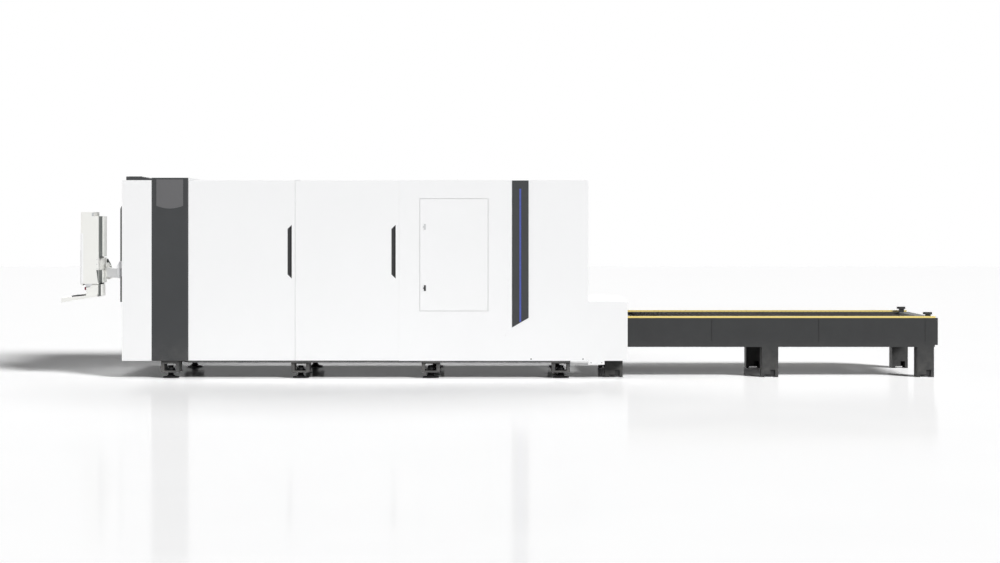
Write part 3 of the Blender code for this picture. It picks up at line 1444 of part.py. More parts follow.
def table_end():
    """The box across the table's far end with a lower lip, and its two stops."""
    first = start(TABLE_BEAM_END)
    last = start(TABLE_END)
    lip = start(END_LIP_END)
    section = [
        (first, TABLE_BOTTOM), (lip, TABLE_BOTTOM), (lip, END_BOX_BOTTOM), (last, END_BOX_BOTTOM),
        (last, TABLE_TOP), (first, TABLE_TOP),
    ]
    beam = prism("end beam", section, "Y", -TABLE_HALF_WIDTH, TABLE_HALF_WIDTH)
    half = TABLE_HALF_WIDTH - END_WALL
    hollow = block("hollow", (first + END_WALL, lip - END_WALL), (-half, half),
                   (TABLE_BOTTOM - OVERRUN, TABLE_TOP - END_WALL))
    stops = []
    for side in SIDES:
        stops += stop_block(side * (TABLE_HALF_WIDTH - STOP_INSET), side)
    return [cut(beam, [hollow])] + stops


def stop_block(outer, side):
    """A stop on the table's end: a cap over a narrower stem."""
    first = start(STOP_START)
    last = first + STOP_LENGTH
    inner = outer - side * STOP_WIDTH
    over = STOP_CAP_OVERHANG
    cap = block("cap", (first, last), (outer, inner), (STOP_TOP - STOP_CAP, STOP_TOP))
    stem = block("stem", (first + over, last - over), (outer - side * over, inner + side * over),
                 (TABLE_TOP - END_WALL / 2, STOP_TOP - STOP_CAP / 2))
    return [cap, stem]


def make_edge_strips():
    for side in SIDES:
        ys = (side * (TABLE_HALF_WIDTH - STRIP_WIDTH), side * TABLE_HALF_WIDTH)
        yellow(block("edge_strip_" + SIDE_NAMES[side], (start(STRIP_START), start(STRIP_END)), ys,
                     (TABLE_TOP + GAP, STRIP_TOP)))


def leg_places():
    return [
        (LEG_FRONT_START, LEG_FRONT_WIDTH),
        (LEG_MIDDLE_START, LEG_MIDDLE_WIDTH),
        (LEG_REAR_START, LEG_REAR_WIDTH),
    ]


def table_leg(first, width, side):
    """A box leg, hollow from above and stepped at its foot for the floor anchor."""
    last = first + width
    top = TABLE_BOTTOM + TABLE_WEB / 2
    outer = side * TABLE_HALF_WIDTH
    inner = side * (TABLE_HALF_WIDTH - LEG_DEPTH)
    leg = block("leg", (first, last), (inner, outer), (0, top))
    hollow = block("hollow", (first + LEG_WALL, last - LEG_WALL),
                   (inner + side * LEG_WALL, outer - side * LEG_WALL),
                   (LEG_NOTCH_HEIGHT + LEG_WALL, top + OVERRUN))
    right = last - LEG_NOTCH_END
    ys = (inner - side * OVERRUN, outer + side * OVERRUN)
    notch = block("notch", (right - LEG_NOTCH_WIDTH, right), ys, (-OVERRUN, LEG_NOTCH_HEIGHT))
    toe = block("toe", (right - LEG_TOE_WIDTH, right - LEG_NOTCH_WIDTH / 2), ys, (-OVERRUN, LEG_TOE_HEIGHT))
    return cut(leg, [hollow, notch, toe])


def lift_guide(x, side):
    """A block on a side beam that guides one of the lift's posts."""
    margin = GUIDE_BLOCK_MARGIN + TABLE_WEB
    inner = side * (LIFT_POST_OUTER + GUIDE_BLOCK_CLEARANCE)
    outer = side * (TABLE_HALF_WIDTH - TABLE_RAIL_PROUD - TABLE_WEB / 2)
    return block("guide", (x - GUIDE_BLOCK_LENGTH / 2, x + GUIDE_BLOCK_LENGTH / 2), (inner, outer),
                 (TABLE_BOTTOM + margin, TABLE_TOP - margin))


def docking_beam():
    """The cross beam that the far ends of the machine's pallet tracks rest on."""
    first = start(LEG_FRONT_START)
    reach = TABLE_HALF_WIDTH - TABLE_WEB
    top = track_section(FAR, LIFT_DROP)[0][1] - GAP
    return block("docking", (first, first + DOCKING_WIDTH), (-reach, reach), (top - DOCKING_HEIGHT, top))


def make_table_frame():
    """The welded exchange table: side beams, end box with its stops, legs and lift guides."""
    pieces = table_end() + [docking_beam()]
    for side in SIDES:
        pieces.append(table_beam(side))
        pieces += [table_leg(start(first), width, side) for first, width in leg_places()]
        pieces += [lift_guide(x, side) for x in lift_places()]
    return dark(joined("table_frame", pieces))


def lift_places():
    """The middle X of each pair of lift posts."""
    first = start(LIFT_START) + LIFT_MARGIN
    last = start(LIFT_END) - LIFT_MARGIN
    return [first + (last - first) * index / (LIFT_COUNT - 1) for index in range(LIFT_COUNT)]


def make_lift_frame():
    """Upper tracks for the outer pallet and lower tracks for the inner one, joined by posts."""
    pieces = []
    xs = (start(LIFT_START), start(LIFT_END))
    upper = track_section(FAR, 0)
    lower = track_section(FAR, LIFT_DROP)
    for side in SIDES:
        pieces.append(prism("upper track", track_section(side, 0), "X", *xs))
        pieces.append(prism("lower track", track_section(side, LIFT_DROP), "X", *xs))
        for x in lift_places():
            pieces.append(block("post", (x - LIFT_POST_LENGTH / 2, x + LIFT_POST_LENGTH / 2),
                                (side * (TRACK_OUTER - TRACK_PLATE / 2), side * LIFT_POST_OUTER),
                                (lower[0][1], upper[2][1])))
    top = upper[0][1] + TRACK_PLATE / 2
    for x in lift_places():
        pieces.append(block("beam", (x - LIFT_BEAM_WIDTH / 2, x + LIFT_BEAM_WIDTH / 2),
                            (-TRACK_OUTER + TRACK_PLATE / 2, TRACK_OUTER - TRACK_PLATE / 2),
                            (top - LIFT_BEAM_HEIGHT, top)))
    return mid_grey(joined("lift_frame", pieces))


# Console and arm

def tray_top(distance):
    """Height of the tray's top at a distance from the front face."""
    share = (distance + TRAY_REACH) / (TRAY_BACK + TRAY_REACH)
    return TRAY_TIP_TOP + (TRAY_BACK_TOP - TRAY_TIP_TOP) * share


def screen_spans():
    x = start(HOUSING_FRONT)
    half = CONSOLE_HALF_WIDTH - SCREEN_MARGIN
    top = HOUSING_TOP - SCREEN_TOP_MARGIN
    return (x, x + SCREEN_DEPTH), (CONSOLE_Y - half, CONSOLE_Y + half), (top - SCREEN_HEIGHT, top)


def housing_outline():
    first = start(HOUSING_FRONT)
    corner = HOUSING_CORNER
    lip = first + HOUSING_LIP_LENGTH
    return [
        (first, HOUSING_BOTTOM - HOUSING_LIP), (first, HOUSING_TOP - corner), (first + corner, HOUSING_TOP),
        (start(HOUSING_STEP), HOUSING_TOP), (start(HOUSING_STEP), HOUSING_SHOULDER),
        (start(HOUSING_BACK), HOUSING_SHOULDER), (start(HOUSING_BACK), HOUSING_BOTTOM),
        (lip, HOUSING_BOTTOM), (lip, HOUSING_BOTTOM - HOUSING_LIP),
    ]


def tilt_bore(radius, half):
    return rod("bore", radius, (start(TILT_X), CONSOLE_Y - half, TILT_Z), "Y", 2 * half, ROUND_SIDES)


def make_console_housing():
    """The tall housing with a stepped top, a screen recess and the clevis for the arm's tongue."""
    low, high = CONSOLE_Y - CONSOLE_HALF_WIDTH, CONSOLE_Y + CONSOLE_HALF_WIDTH
    body = prism("console_housing", housing_outline(), "Y", low, high)
    back = start(HOUSING_BACK)
    clevis = block("clevis", (back - CLEVIS_BASE, start(CLEVIS_BACK)),
                   (CONSOLE_Y - CLEVIS_HALF, CONSOLE_Y + CLEVIS_HALF), (CLEVIS_BOTTOM, CLEVIS_TOP))
    body = joined("console_housing", [body, clevis])
    xs, ys, zs = screen_spans()
    recess = block("recess", (xs[0] - OVERRUN, xs[1]), ys, zs)
    slot_half = TONGUE_HALF + TONGUE_CLEARANCE
    slot = block("slot", (back + CLEVIS_BASE, start(CLEVIS_BACK) + OVERRUN),
                 (CONSOLE_Y - slot_half, CONSOLE_Y + slot_half),
                 (CLEVIS_BOTTOM - OVERRUN, CLEVIS_TOP + OVERRUN))
    inside = block("inside", (xs[1] + CONSOLE_SHEET, start(HOUSING_STEP)),
                   (low + CONSOLE_SHEET, high - CONSOLE_SHEET),
                   (HOUSING_BOTTOM + CONSOLE_SHEET, HOUSING_SHOULDER - CONSOLE_SHEET))
    half = UPPER_COVER_HALF - CONSOLE_FLANGE
    mouth = block("mouth", (xs[1] + CONSOLE_SHEET, back + OVERRUN), (CONSOLE_Y - half, CONSOLE_Y + half),
                  (UPPER_COVER_BOTTOM + CONSOLE_FLANGE, HOUSING_SHOULDER - CONSOLE_FLANGE))
    bore = tilt_bore(TILT_PIN_RADIUS + ARM_CLEARANCE, CLEVIS_HALF + OVERRUN)
    return warm_white(cut(body, [recess, slot, inside, mouth, bore]))


def make_console_screen():
    xs, ys, zs = screen_spans()
    return black(block("console_screen", (xs[0], xs[1] - GAP), (ys[0] + GAP, ys[1] - GAP),
                       (zs[0] + GAP, zs[1] - GAP)))


def make_rear_covers():
    """Dark covers on the back: one above the arm, one below it that also backs the lower box."""
    xs = (start(HOUSING_BACK) + GAP, start(COVER_BACK))
    wide = (CONSOLE_Y - UPPER_COVER_HALF, CONSOLE_Y + UPPER_COVER_HALF)
    narrow = (CONSOLE_Y - LOWER_COVER_HALF, CONSOLE_Y + LOWER_COVER_HALF)
    upper = block("upper_rear_cover", xs, wide, (UPPER_COVER_BOTTOM, HOUSING_SHOULDER))
    sheet = CONSOLE_SHEET
    hollow = block("hollow", (xs[0] - OVERRUN, xs[1] - sheet), (wide[0] + sheet, wide[1] - sheet),
                   (UPPER_COVER_BOTTOM + sheet, HOUSING_SHOULDER - sheet))
    mid_grey(cut(upper, [hollow]))
    lower = block("lower", xs, narrow, (LOWER_COVER_BOTTOM, LOWER_COVER_TOP))
    box = block("box", (start(BOX_BACK) + GAP, start(BOX_COVER_BACK)), wide,
                (BOX_COVER_BOTTOM, BOX_COVER_TOP))
    link = block("link", (xs[0], start(BOX_COVER_BACK)), narrow, (BOX_COVER_BOTTOM, LOWER_COVER_TOP))
    mid_grey(joined("lower_rear_cover", [lower, box, link]))


def make_lower_box():
    """The box under the housing that carries the stop button and rests on the tray."""
    outline = [
        (start(BOX_FRONT), tray_top(BOX_FRONT) + GAP), (start(BOX_FRONT), HOUSING_BOTTOM - GAP),
        (start(BOX_BACK), HOUSING_BOTTOM - GAP), (start(BOX_BACK), TRAY_BACK_TOP + GAP),
        (start(TRAY_BACK), TRAY_BACK_TOP + GAP),
    ]
    body = prism("console_lower_box", outline, "Y", CONSOLE_Y - BOX_HALF_WIDTH, CONSOLE_Y + BOX_HALF_WIDTH)
    hole = rod("hole", STOP_BUTTON_STEM + HINGE_CLEARANCE,
               (start(BOX_FRONT) - OVERRUN, STOP_BUTTON_Y, STOP_BUTTON_Z), "X", OVERRUN + STOP_BUTTON_HOLE,
               ROUND_SIDES)
    half = BOX_HALF_WIDTH - CONSOLE_SHEET
    inside = block("inside", (start(BOX_FRONT) + STOP_BUTTON_HOLE + CONSOLE_SHEET, start(BOX_BACK) + OVERRUN),
                   (CONSOLE_Y - half, CONSOLE_Y + half),
                   (TRAY_BACK_TOP + CONSOLE_SHEET, HOUSING_BOTTOM - CONSOLE_FLANGE))
    return warm_white(cut(body, [hole, inside]))


def make_stop_button():
    """A mushroom button whose stem slides in the lower box."""
    clear = STOP_BUTTON_TRAVEL + GAP
    back = -clear
    stem_end = STOP_BUTTON_HOLE - clear
    head = back - STOP_BUTTON_HEAD
    radius = STOP_BUTTON_RADIUS
    profile = [
        (0, head), (radius / 2, head), (radius, head + STOP_BUTTON_HEAD / 3), (radius, back),
        (STOP_BUTTON_STEM, back), (STOP_BUTTON_STEM, stem_end), (0, stem_end),
    ]
    return red(turned("e_stop_button", profile, (start(BOX_FRONT), STOP_BUTTON_Y, STOP_BUTTON_Z), "X"))


def make_keyboard_tray():
    outline = [
        (start(-TRAY_REACH), TRAY_TIP_BOTTOM), (start(-TRAY_REACH), TRAY_TIP_TOP),
        (start(TRAY_BACK), TRAY_BACK_TOP), (start(TRAY_BACK), TRAY_BACK_BOTTOM),
    ]
    tray = prism("keyboard_tray", outline, "Y", CONSOLE_Y - TRAY_HALF_WIDTH, CONSOLE_Y + TRAY_HALF_WIDTH)
    sheet = CONSOLE_SHEET
    first, last = -TRAY_REACH + CONSOLE_FLANGE, TRAY_BACK - CONSOLE_FLANGE
    pan = [
        (start(first), TRAY_TIP_BOTTOM - OVERRUN), (start(last), TRAY_TIP_BOTTOM - OVERRUN),
        (start(last), tray_top(last) - sheet), (start(first), tray_top(first) - sheet),
    ]
    half = TRAY_HALF_WIDTH - sheet
    return warm_white(cut(tray, [prism("pan", pan, "Y", CONSOLE_Y - half, CONSOLE_Y + half)]))


def make_keyboard():
    low = [(KEYBOARD_START, GAP), (KEYBOARD_END, GAP)]
    high = [(KEYBOARD_END, KEYBOARD_THICKNESS), (KEYBOARD_START, KEYBOARD_THICKNESS)]
    outline = [(start(place), tray_top(place) + rise) for place, rise in low + high]
    half = KEYBOARD_HALF_WIDTH
    return black(prism("keyboard", outline, "Y", CONSOLE_Y - half, CONSOLE_Y + half))


def make_arm_bracket():
    """The wall bracket: plate, ear with a chamfered corner and the pin that the link turns on."""
    face = start(0) - GAP
    plate = block("arm_wall_bracket", (face - BRACKET_PLATE, face),
                  (ARM_PIVOT_Y - BRACKET_HALF_WIDTH, ARM_PIVOT_Y + BRACKET_HALF_WIDTH),
                  (BRACKET_PLATE_BOTTOM, BRACKET_PLATE_TOP))
    pivot = start(ARM_PIVOT_X)
    low = LINK_TOP + GAP
    half = BRACKET_EAR_HALF
    outline = [
        (face - BRACKET_PLATE / 2, low), (pivot - half, low), (pivot - half, low + BRACKET_EAR),
        (pivot + half / 2, BRACKET_PLATE_TOP), (face - BRACKET_PLATE / 2, BRACKET_PLATE_TOP),
    ]
    ear = prism("ear", outline, "Y", ARM_PIVOT_Y - half, ARM_PIVOT_Y + half)
    bottom = LINK_BOTTOM - GAP
    top = low + BRACKET_EAR / 2
    profile = [
        (0, bottom - PIN_HEAD), (PIN_HEAD_RADIUS, bottom - PIN_HEAD), (PIN_HEAD_RADIUS, bottom),
        (ARM_PIN_RADIUS, bottom), (ARM_PIN_RADIUS, top), (0, top),
    ]
    pin = turned("pin", profile, (pivot, ARM_PIVOT_Y, 0))
    return light_grey(joined("arm_wall_bracket", [plate, ear, pin]))


def arc(centre, radius, first, last, steps):
    """Points on an arc between two angles in degrees."""
    points = []
    for step in range(steps + 1):
        angle = math.radians(first + (last - first) * step / steps)
        points.append((centre[0] + radius * math.cos(angle), centre[1] + radius * math.sin(angle)))
    return points


def make_arm_link():
    """The link between the wall pin and the elbow, rounded at both ends and bored through."""
    pivot = (start(ARM_PIVOT_X), ARM_PIVOT_Y)
    elbow = (start(ELBOW_X), ELBOW_Y)
    turn = math.degrees(math.atan2(elbow[1] - pivot[1], elbow[0] - pivot[0]))
    steps = ROUND_SIDES // 2
    outline = arc(pivot, LINK_PIVOT_RADIUS, turn + 90, turn + 270, steps)
    outline += arc(elbow, ELBOW_RADIUS, turn - 90, turn + 90, steps)
    body = prism("arm_link", outline, "Z", LINK_BOTTOM, LINK_TOP)
    length = LINK_TOP - LINK_BOTTOM + 2 * OVERRUN
    bores = []
    for place, radius in ((pivot, ARM_PIN_RADIUS), (elbow, ELBOW_PIN_RADIUS)):
        bores.append(rod("bore", radius + ARM_CLEARANCE, (*place, LINK_BOTTOM - OVERRUN), "Z", length,
                         ROUND_SIDES))
    return light_grey(cut(body, bores))


def make_elbow_spindle():
    low = LINK_BOTTOM - GAP
    high = LINK_TOP + GAP
    profile = [
        (0, low - ELBOW_CAP_LOW), (ELBOW_RADIUS / 2, low - ELBOW_CAP_LOW),
        (ELBOW_RADIUS, low - ELBOW_CAP_LOW / 2),
        (ELBOW_RADIUS, low), (ELBOW_PIN_RADIUS, low), (ELBOW_PIN_RADIUS, high), (ELBOW_RADIUS, high),
        (ELBOW_RADIUS, high + ELBOW_CAP_HIGH), (0, high + ELBOW_CAP_HIGH),
    ]
    return turned("spindle", profile, (start(ELBOW_X), ELBOW_Y, 0))


def make_arm_head():
    """The elbow spindle, the slanting neck and the tongue with the tilt pin through it."""
    low = LINK_TOP + GAP + ELBOW_CAP_HIGH / 2
    back = start(NECK_BACK)
    tongue = arc((start(TILT_X), TILT_Z), TONGUE_RADIUS, 90, 270, CORNER_STEPS + 2)
    tongue += [
        (start(NECK_FRONT), low), (back, low), (back, low + NECK_SHOULDER),
        (start(NECK_CREST), NECK_TOP), (start(TILT_X) + TILT_PIN_RADIUS / 2, NECK_TOP),
    ]
    reach = [
        (start(NECK_FRONT), low), (back, low), (back, low + NECK_SHOULDER),
        ((back + start(NECK_FRONT)) / 2, low + 3 * NECK_SHOULDER),
        (start(NECK_FRONT), low + 3 * NECK_SHOULDER),
    ]
    pieces = [
        make_elbow_spindle(),
        prism("reach", reach, "Y", ELBOW_Y, CONSOLE_Y),
        prism("tongue", tongue, "Y", CONSOLE_Y - TONGUE_HALF, CONSOLE_Y + TONGUE_HALF),
        tilt_bore(TILT_PIN_RADIUS, CLEVIS_HALF),
    ]
    return warm_white(joined("arm_head", pieces))


def clear_scene():
    for obj in list(bpy.data.objects):
        bpy.data.objects.remove(obj)


def build_base():
    make_bed_frame()
    make_levelling_feet()
    make_scrap_trays()


def build_enclosure():
    make_enclosure_frame()
    make_front_section()
    make_front_bezel()
    make_front_door()
    make_front_window()
    make_front_band()
    make_band_insets()
    make_roof_visor()
    make_roof_panel()
    make_side_panel_near()
    make_side_panel_far()
    make_rear_wall()
    make_entry_hood()
    make_accent_strips()
    make_light_lines()


def build_doors():
    make_side_leaf("side_door_front", *front_leaf_span(), PULL_START_FRONT)
    make_pull("pull_cup_front", PULL_START_FRONT)
    make_side_leaf("side_door_rear", *rear_leaf_span(), PULL_START_REAR)
    make_pull("pull_cup_rear", PULL_START_REAR)
    make_cabinet_door()
    make_latch("upper_latch", LATCH_UPPER, light_grey)
    make_latch("lower_latch", LATCH_LOWER, dark)
    make_control_cabinet()
    make_control_gear()


def build_gantry():
    make_gantry_beam()
    make_y_carriage()
    make_z_slide()
    make_cutting_head()


def build_table():
    make_table_frame()
    make_edge_strips()
    make_lift_frame()
    make_pallet("outer_pallet", False)
    make_pallet("inner_pallet", True)


def build_console():
    make_arm_bracket()
    make_arm_link()
    make_arm_head()
    make_console_housing()
    make_console_screen()
    make_rear_covers()
    make_lower_box()
    make_stop_button()
    make_keyboard_tray()
    make_keyboard()


def middle(obj):
    """The middle of an object's own box."""
    corners = [Vector(corner) for corner in obj.bound_box]
    return (min(corners, key=sum) + max(corners, key=sum)) / 2


def hinge_places():
    """A place on the axis of each piece that turns, and on the line of each that presses."""
    front = (front_leaf_span()[0] + HINGE_INSET, -SKIN_Y + HINGE_INSET, SKIN_BOTTOM)
    rear = (rear_leaf_span()[0] + HINGE_INSET, -SKIN_Y + HINGE_INSET, SKIN_BOTTOM)
    tilt = (start(TILT_X), CONSOLE_Y, TILT_Z)
    return {
        "side_door_front": front,
        "pull_cup_front": front,
        "side_door_rear": rear,
        "pull_cup_rear": rear,
        "cabinet_door": (*cabinet_hinge(), CABINET_DOOR_BOTTOM),
        "upper_latch": (latch_x(), -SKIN_Y, LATCH_UPPER),
        "lower_latch": (latch_x(), -SKIN_Y, LATCH_LOWER),
        "arm_link": (start(ARM_PIVOT_X), ARM_PIVOT_Y, LINK_BOTTOM),
        "arm_head": (start(ELBOW_X), ELBOW_Y, LINK_BOTTOM),
        "console_housing": tilt,
        "console_screen": tilt,
        "upper_rear_cover": tilt,
        "lower_rear_cover": tilt,
        "console_lower_box": tilt,
        "keyboard_tray": tilt,
        "keyboard": tilt,
        "e_stop_button": (start(BOX_FRONT), STOP_BUTTON_Y, STOP_BUTTON_Z),
    }


def slide_places():
    """The middle of each piece that slides."""
    names = [
        "front_door", "front_window", "gantry_beam", "y_carriage", "z_slide", "cutting_head", "lift_frame",
        "outer_pallet", "inner_pallet",
    ]
    return {name: middle(bpy.data.objects[name]) for name in names}


def place_origins():
    """Puts each moving piece's origin on its joint's axis and leaves its surface where it is."""
    places = {**hinge_places(), **slide_places()}
    for name, place in places.items():
        obj = bpy.data.objects[name]
        obj.data.transform(Matrix.Translation(-Vector(place)))
        obj.location = place


def shade_round_pieces():
    """Smooth shading over the facets of round pieces, with every real edge kept sharp."""
    for obj in bpy.data.objects:
        obj.data.shade_smooth()
        obj.data.set_sharp_from_angle(angle=math.radians(SMOOTH_ANGLE))


def main():
    clear_scene()
    build_base()
    build_enclosure()
    build_doors()
    build_gantry()
    build_table()
    build_console()
    place_origins()
    shade_round_pieces()


main()
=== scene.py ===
"""Finishes, small parts and studio of a fiber laser cutting machine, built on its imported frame."""

import math

import bmesh
import bpy
from bpy.props import FloatProperty, FloatVectorProperty, IntProperty, PointerProperty
from bpy.types import Operator, Panel, PropertyGroup
from mathutils import Matrix, Vector


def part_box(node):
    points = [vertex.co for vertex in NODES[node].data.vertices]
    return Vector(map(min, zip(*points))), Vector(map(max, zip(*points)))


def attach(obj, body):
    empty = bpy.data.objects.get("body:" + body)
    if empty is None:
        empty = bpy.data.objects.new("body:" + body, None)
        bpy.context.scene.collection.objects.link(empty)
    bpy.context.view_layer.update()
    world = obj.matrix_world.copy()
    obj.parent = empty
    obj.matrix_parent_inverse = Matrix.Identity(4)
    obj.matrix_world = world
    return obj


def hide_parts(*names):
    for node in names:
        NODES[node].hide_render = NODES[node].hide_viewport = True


bl_info = {
    "name": "Fiber laser cutting machine",
    "version": (1, 0, 0),
    "blender": (4, 5, 0),
    "location": "3D View > Sidebar > Cutter",
    "description": "Finishes and small parts of a fiber laser cutting machine, on its packed frame",
    "category": "Add Mesh",
}

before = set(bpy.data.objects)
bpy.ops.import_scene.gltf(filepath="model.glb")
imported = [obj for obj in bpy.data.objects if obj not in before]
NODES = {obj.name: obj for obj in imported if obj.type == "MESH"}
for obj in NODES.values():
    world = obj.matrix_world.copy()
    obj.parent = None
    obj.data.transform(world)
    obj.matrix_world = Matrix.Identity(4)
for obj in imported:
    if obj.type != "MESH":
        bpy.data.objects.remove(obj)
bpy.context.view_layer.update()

MERGE = 0.00002
SHARP_ANGLE = math.radians(32)
PLATE_SHARP = 0.3
NEAR = -1
FAR = 1
SIDES = (NEAR, FAR)
FRONT_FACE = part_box("front_section")[0].x
TURNS = {
    "X": Matrix.Rotation(math.pi / 2, 4, "Y"),
    "Y": Matrix.Rotation(-math.pi / 2, 4, "X"),
    "Z": Matrix.Identity(4),
}


def along(distance):
    """World X of a distance measured back from the enclosure's front face."""
    return FRONT_FACE + distance


def outline_along(points):
    """Points of (distance behind the front face, height), in world coordinates."""
    return [(along(distance), height) for distance, height in points]


# Settings

def colour_property(name, description, value):
    return FloatVectorProperty(name=name, description=description, default=value, size=3, min=0, max=1,
                               subtype="COLOR")


def length_property(name, description, value):
    return FloatProperty(name=name, description=description, default=value, min=0, unit="LENGTH")


def strength_property(name, description, value):
    return FloatProperty(name=name, description=description, default=value, min=0)


class FinishSettings(PropertyGroup):
    white: colour_property("White", "Powder coat of the enclosure's panels", (0.885, 0.888, 0.892))
    dark: colour_property("Dark", "Powder coat of the band, strips and bezel", (0.029, 0.031, 0.033))
    inset: colour_property("Inset", "Paint of the lighter inset in the band", (0.112, 0.112, 0.116))
    table: colour_property("Table", "Powder coat of the exchange table", (0.034, 0.035, 0.036))
    yellow: colour_property("Yellow", "Edge strips of the table", (0.840, 0.665, 0.220))
    blue: colour_property("Blue", "Light line in the accent strips", (0.060, 0.085, 0.330))
    console: colour_property("Console", "Warm white of the operator's console", (0.830, 0.830, 0.800))
    grain: FloatProperty(name="Coat grain", description="Grains of the powder coat per metre", default=420,
                         min=1, subtype="FACTOR", max=4000)


class FootSettings(PropertyGroup):
    thread_pitch: length_property("Thread pitch", "Distance between the stud's thread turns", 0.0040)
    thread_depth: length_property("Thread depth", "Depth of the stud's thread", 0.0024)
    pad_thickness: length_property("Pad thickness", "Rubber pad under the foot's disc", 0.006)


class PalletSettings(PropertyGroup):
    slat_pitch: length_property("Slat pitch", "Distance between two slats", 0.0522)
    slat_thickness: length_property("Slat thickness", "Sheet thickness of a slat", 0.004)
    tooth_height: length_property("Tooth height", "Height of a slat's saw teeth", 0.020)
    teeth: IntProperty(name="Teeth", description="Saw teeth on one slat", default=27, min=4, max=60)


class HeadSettings(PropertyGroup):
    nozzle_mouth: length_property("Nozzle mouth", "Radius of the nozzle's mouth", 0.0030)
    chain_pitch: length_property("Chain pitch", "Distance between two links of the cable chain", 0.045)


class ConsoleSettings(PropertyGroup):
    key_pitch: length_property("Key pitch", "Distance between two keys", 0.0190)
    button_radius: length_property("Button radius", "Radius of a push button", 0.0095)
    plate_thickness: length_property("Plate thickness", "Thickness of the operator panel's plate", 0.004)


class StageSettings(PropertyGroup):
    camera_height: length_property("Camera height", "Height of the camera over the floor", 1.71)
    camera_distance: length_property("Camera distance", "Distance of the camera from the machine", 31.7)
    key_strength: strength_property("Key light", "Strength of the soft light from the front right", 2.64)
    world_strength: strength_property("Room light", "Strength of the even light of the room", 0.03)
    fill_strength: strength_property("Fill light", "Strength of the lights that leave out the floor", 2.0)


# Mesh making

def round_edges(bm, edges, width, segments=2):
    bmesh.ops.bevel(bm, geom=edges, offset=width, offset_type="OFFSET", affect="EDGES", segments=segments,
                    profile=0.5, material=-1)


def absorb(bm, piece, matrix=None):
    """Cleans a piece, places it and adds it to bm."""
    bmesh.ops.remove_doubles(piece, verts=piece.verts[:], dist=MERGE)
    bmesh.ops.recalc_face_normals(piece, faces=piece.faces[:])
    repeat(bm, piece, [Matrix.Identity(4) if matrix is None else matrix])


def repeat(bm, piece, matrices):
    """Adds copies of a piece to bm, one for each matrix."""
    mesh = bpy.data.meshes.new("copy")
    piece.to_mesh(mesh)
    piece.free()
    for matrix in matrices:
        moved = mesh.copy()
        moved.transform(matrix)
        bm.from_mesh(moved)
        bpy.data.meshes.remove(moved)
    bpy.data.meshes.remove(mesh)


def cube(bm, corner, opposite, bevel=0.0, segments=2):
    """A box between two opposite corners with rounded edges."""
    low, high = (Vector(ends) for ends in zip(*map(sorted, zip(corner, opposite))))
    matrix = Matrix.Translation((low + high) / 2) @ Matrix.Diagonal((*(high - low), 1))
    piece = bmesh.new()
    bmesh.ops.create_cube(piece, size=1, matrix=matrix)
    if bevel:
        round_edges(piece, piece.edges[:], bevel, segments)
    absorb(bm, piece)


def cylinder(bm, centre, radius, length, axis="Z", steps=24, end_radius=None, bevel=0.0):
    """A cylinder or cone about its middle, with its rims rounded where a bevel is given."""
    piece = bmesh.new()
    end = radius if end_radius is None else end_radius
    bmesh.ops.create_cone(piece, cap_ends=True, cap_tris=False, segments=steps, radius1=radius, radius2=end,
                          depth=length, matrix=Matrix.Translation(centre) @ TURNS[axis])
    if bevel:
        rims = [edge for edge in piece.edges if len(edge.link_faces) == 2
                and any(len(face.verts) > 4 for face in edge.link_faces)]
        round_edges(piece, rims, bevel)
    absorb(bm, piece)


def lathe(bm, profile, place, axis="Z", steps=32):
    """A turned piece: a profile of (radius, height) points spun about an axis."""
    piece = bmesh.new()
    points = [piece.verts.new((radius, 0, height)) for radius, height in profile]
    edges = [piece.edges.new(pair) for pair in zip(points, points[1:])]
    bmesh.ops.spin(piece, geom=points + edges, cent=(0, 0, 0), axis=(0, 0, 1), dvec=(0, 0, 0), angle=math.tau,
                   steps=steps, use_merge=True)
    absorb(bm, piece, Matrix.Translation(place) @ TURNS[axis])


def push_faces(piece, faces, shift):
    """Draws faces out along a vector, which leaves a closed body."""
    pushed = bmesh.ops.extrude_face_region(piece, geom=faces)
    moved = [item for item in pushed["geom"] if isinstance(item, bmesh.types.BMVert)]
    bmesh.ops.translate(piece, verts=moved, vec=shift)


def plate(bm, outline, axis, first, last, bevel=0.0):
    """An outline of two coordinates pushed along the X or Y axis from first to last."""
    order = {"X": (2, 0, 1), "Y": (0, 2, 1)}[axis]
    piece = bmesh.new()
    corners = [piece.verts.new([(across, up, first)[index] for index in order]) for across, up in outline]
    push_faces(piece, [piece.faces.new(corners)], Vector([(0, 0, last - first)[index] for index in order]))
    if bevel:
        sharp = [edge for edge in piece.edges
                 if len(edge.link_faces) == 2 and edge.calc_face_angle(0) > PLATE_SHARP]
        round_edges(piece, sharp, bevel)
    absorb(bm, piece)


def ring(bm, low, high, border):
    """A flat frame that faces X: a box with an opening that leaves a border all round."""
    for y in (low[1], high[1] - border):
        cube(bm, (low[0], y, low[2]), (high[0], y + border, high[2]))
    for z in (low[2], high[2] - border):
        cube(bm, (low[0], low[1] + border, z), (high[0], high[1] - border, z + border))


def lift_from(place, axis, height, towards):
    """A place moved off a face by a height along an axis."""
    return Vector(place) + Vector([towards * height if letter == axis else 0 for letter in "XYZ"])


def bolt(bm, place, axis, radius, height, towards=1):
    """A hex head on a washer, standing on a face and pointing along an axis."""
    washer = lift_from(place, axis, height * 0.12, towards)
    head = lift_from(place, axis, height * 0.62, towards)
    cylinder(bm, washer, radius * 1.45, height * 0.24, axis, 16)
    cylinder(bm, head, radius, height * 0.76, axis, 6, bevel=height * 0.10)


def screw(bm, place, axis, radius, towards=1):
    """A low domed screw head."""
    ends = (radius, radius * 0.55)
    first, last = ends if towards > 0 else reversed(ends)
    middle = lift_from(place, axis, radius * 0.2, towards)
    cylinder(bm, middle, first, radius * 0.4, axis, 12, end_radius=last)


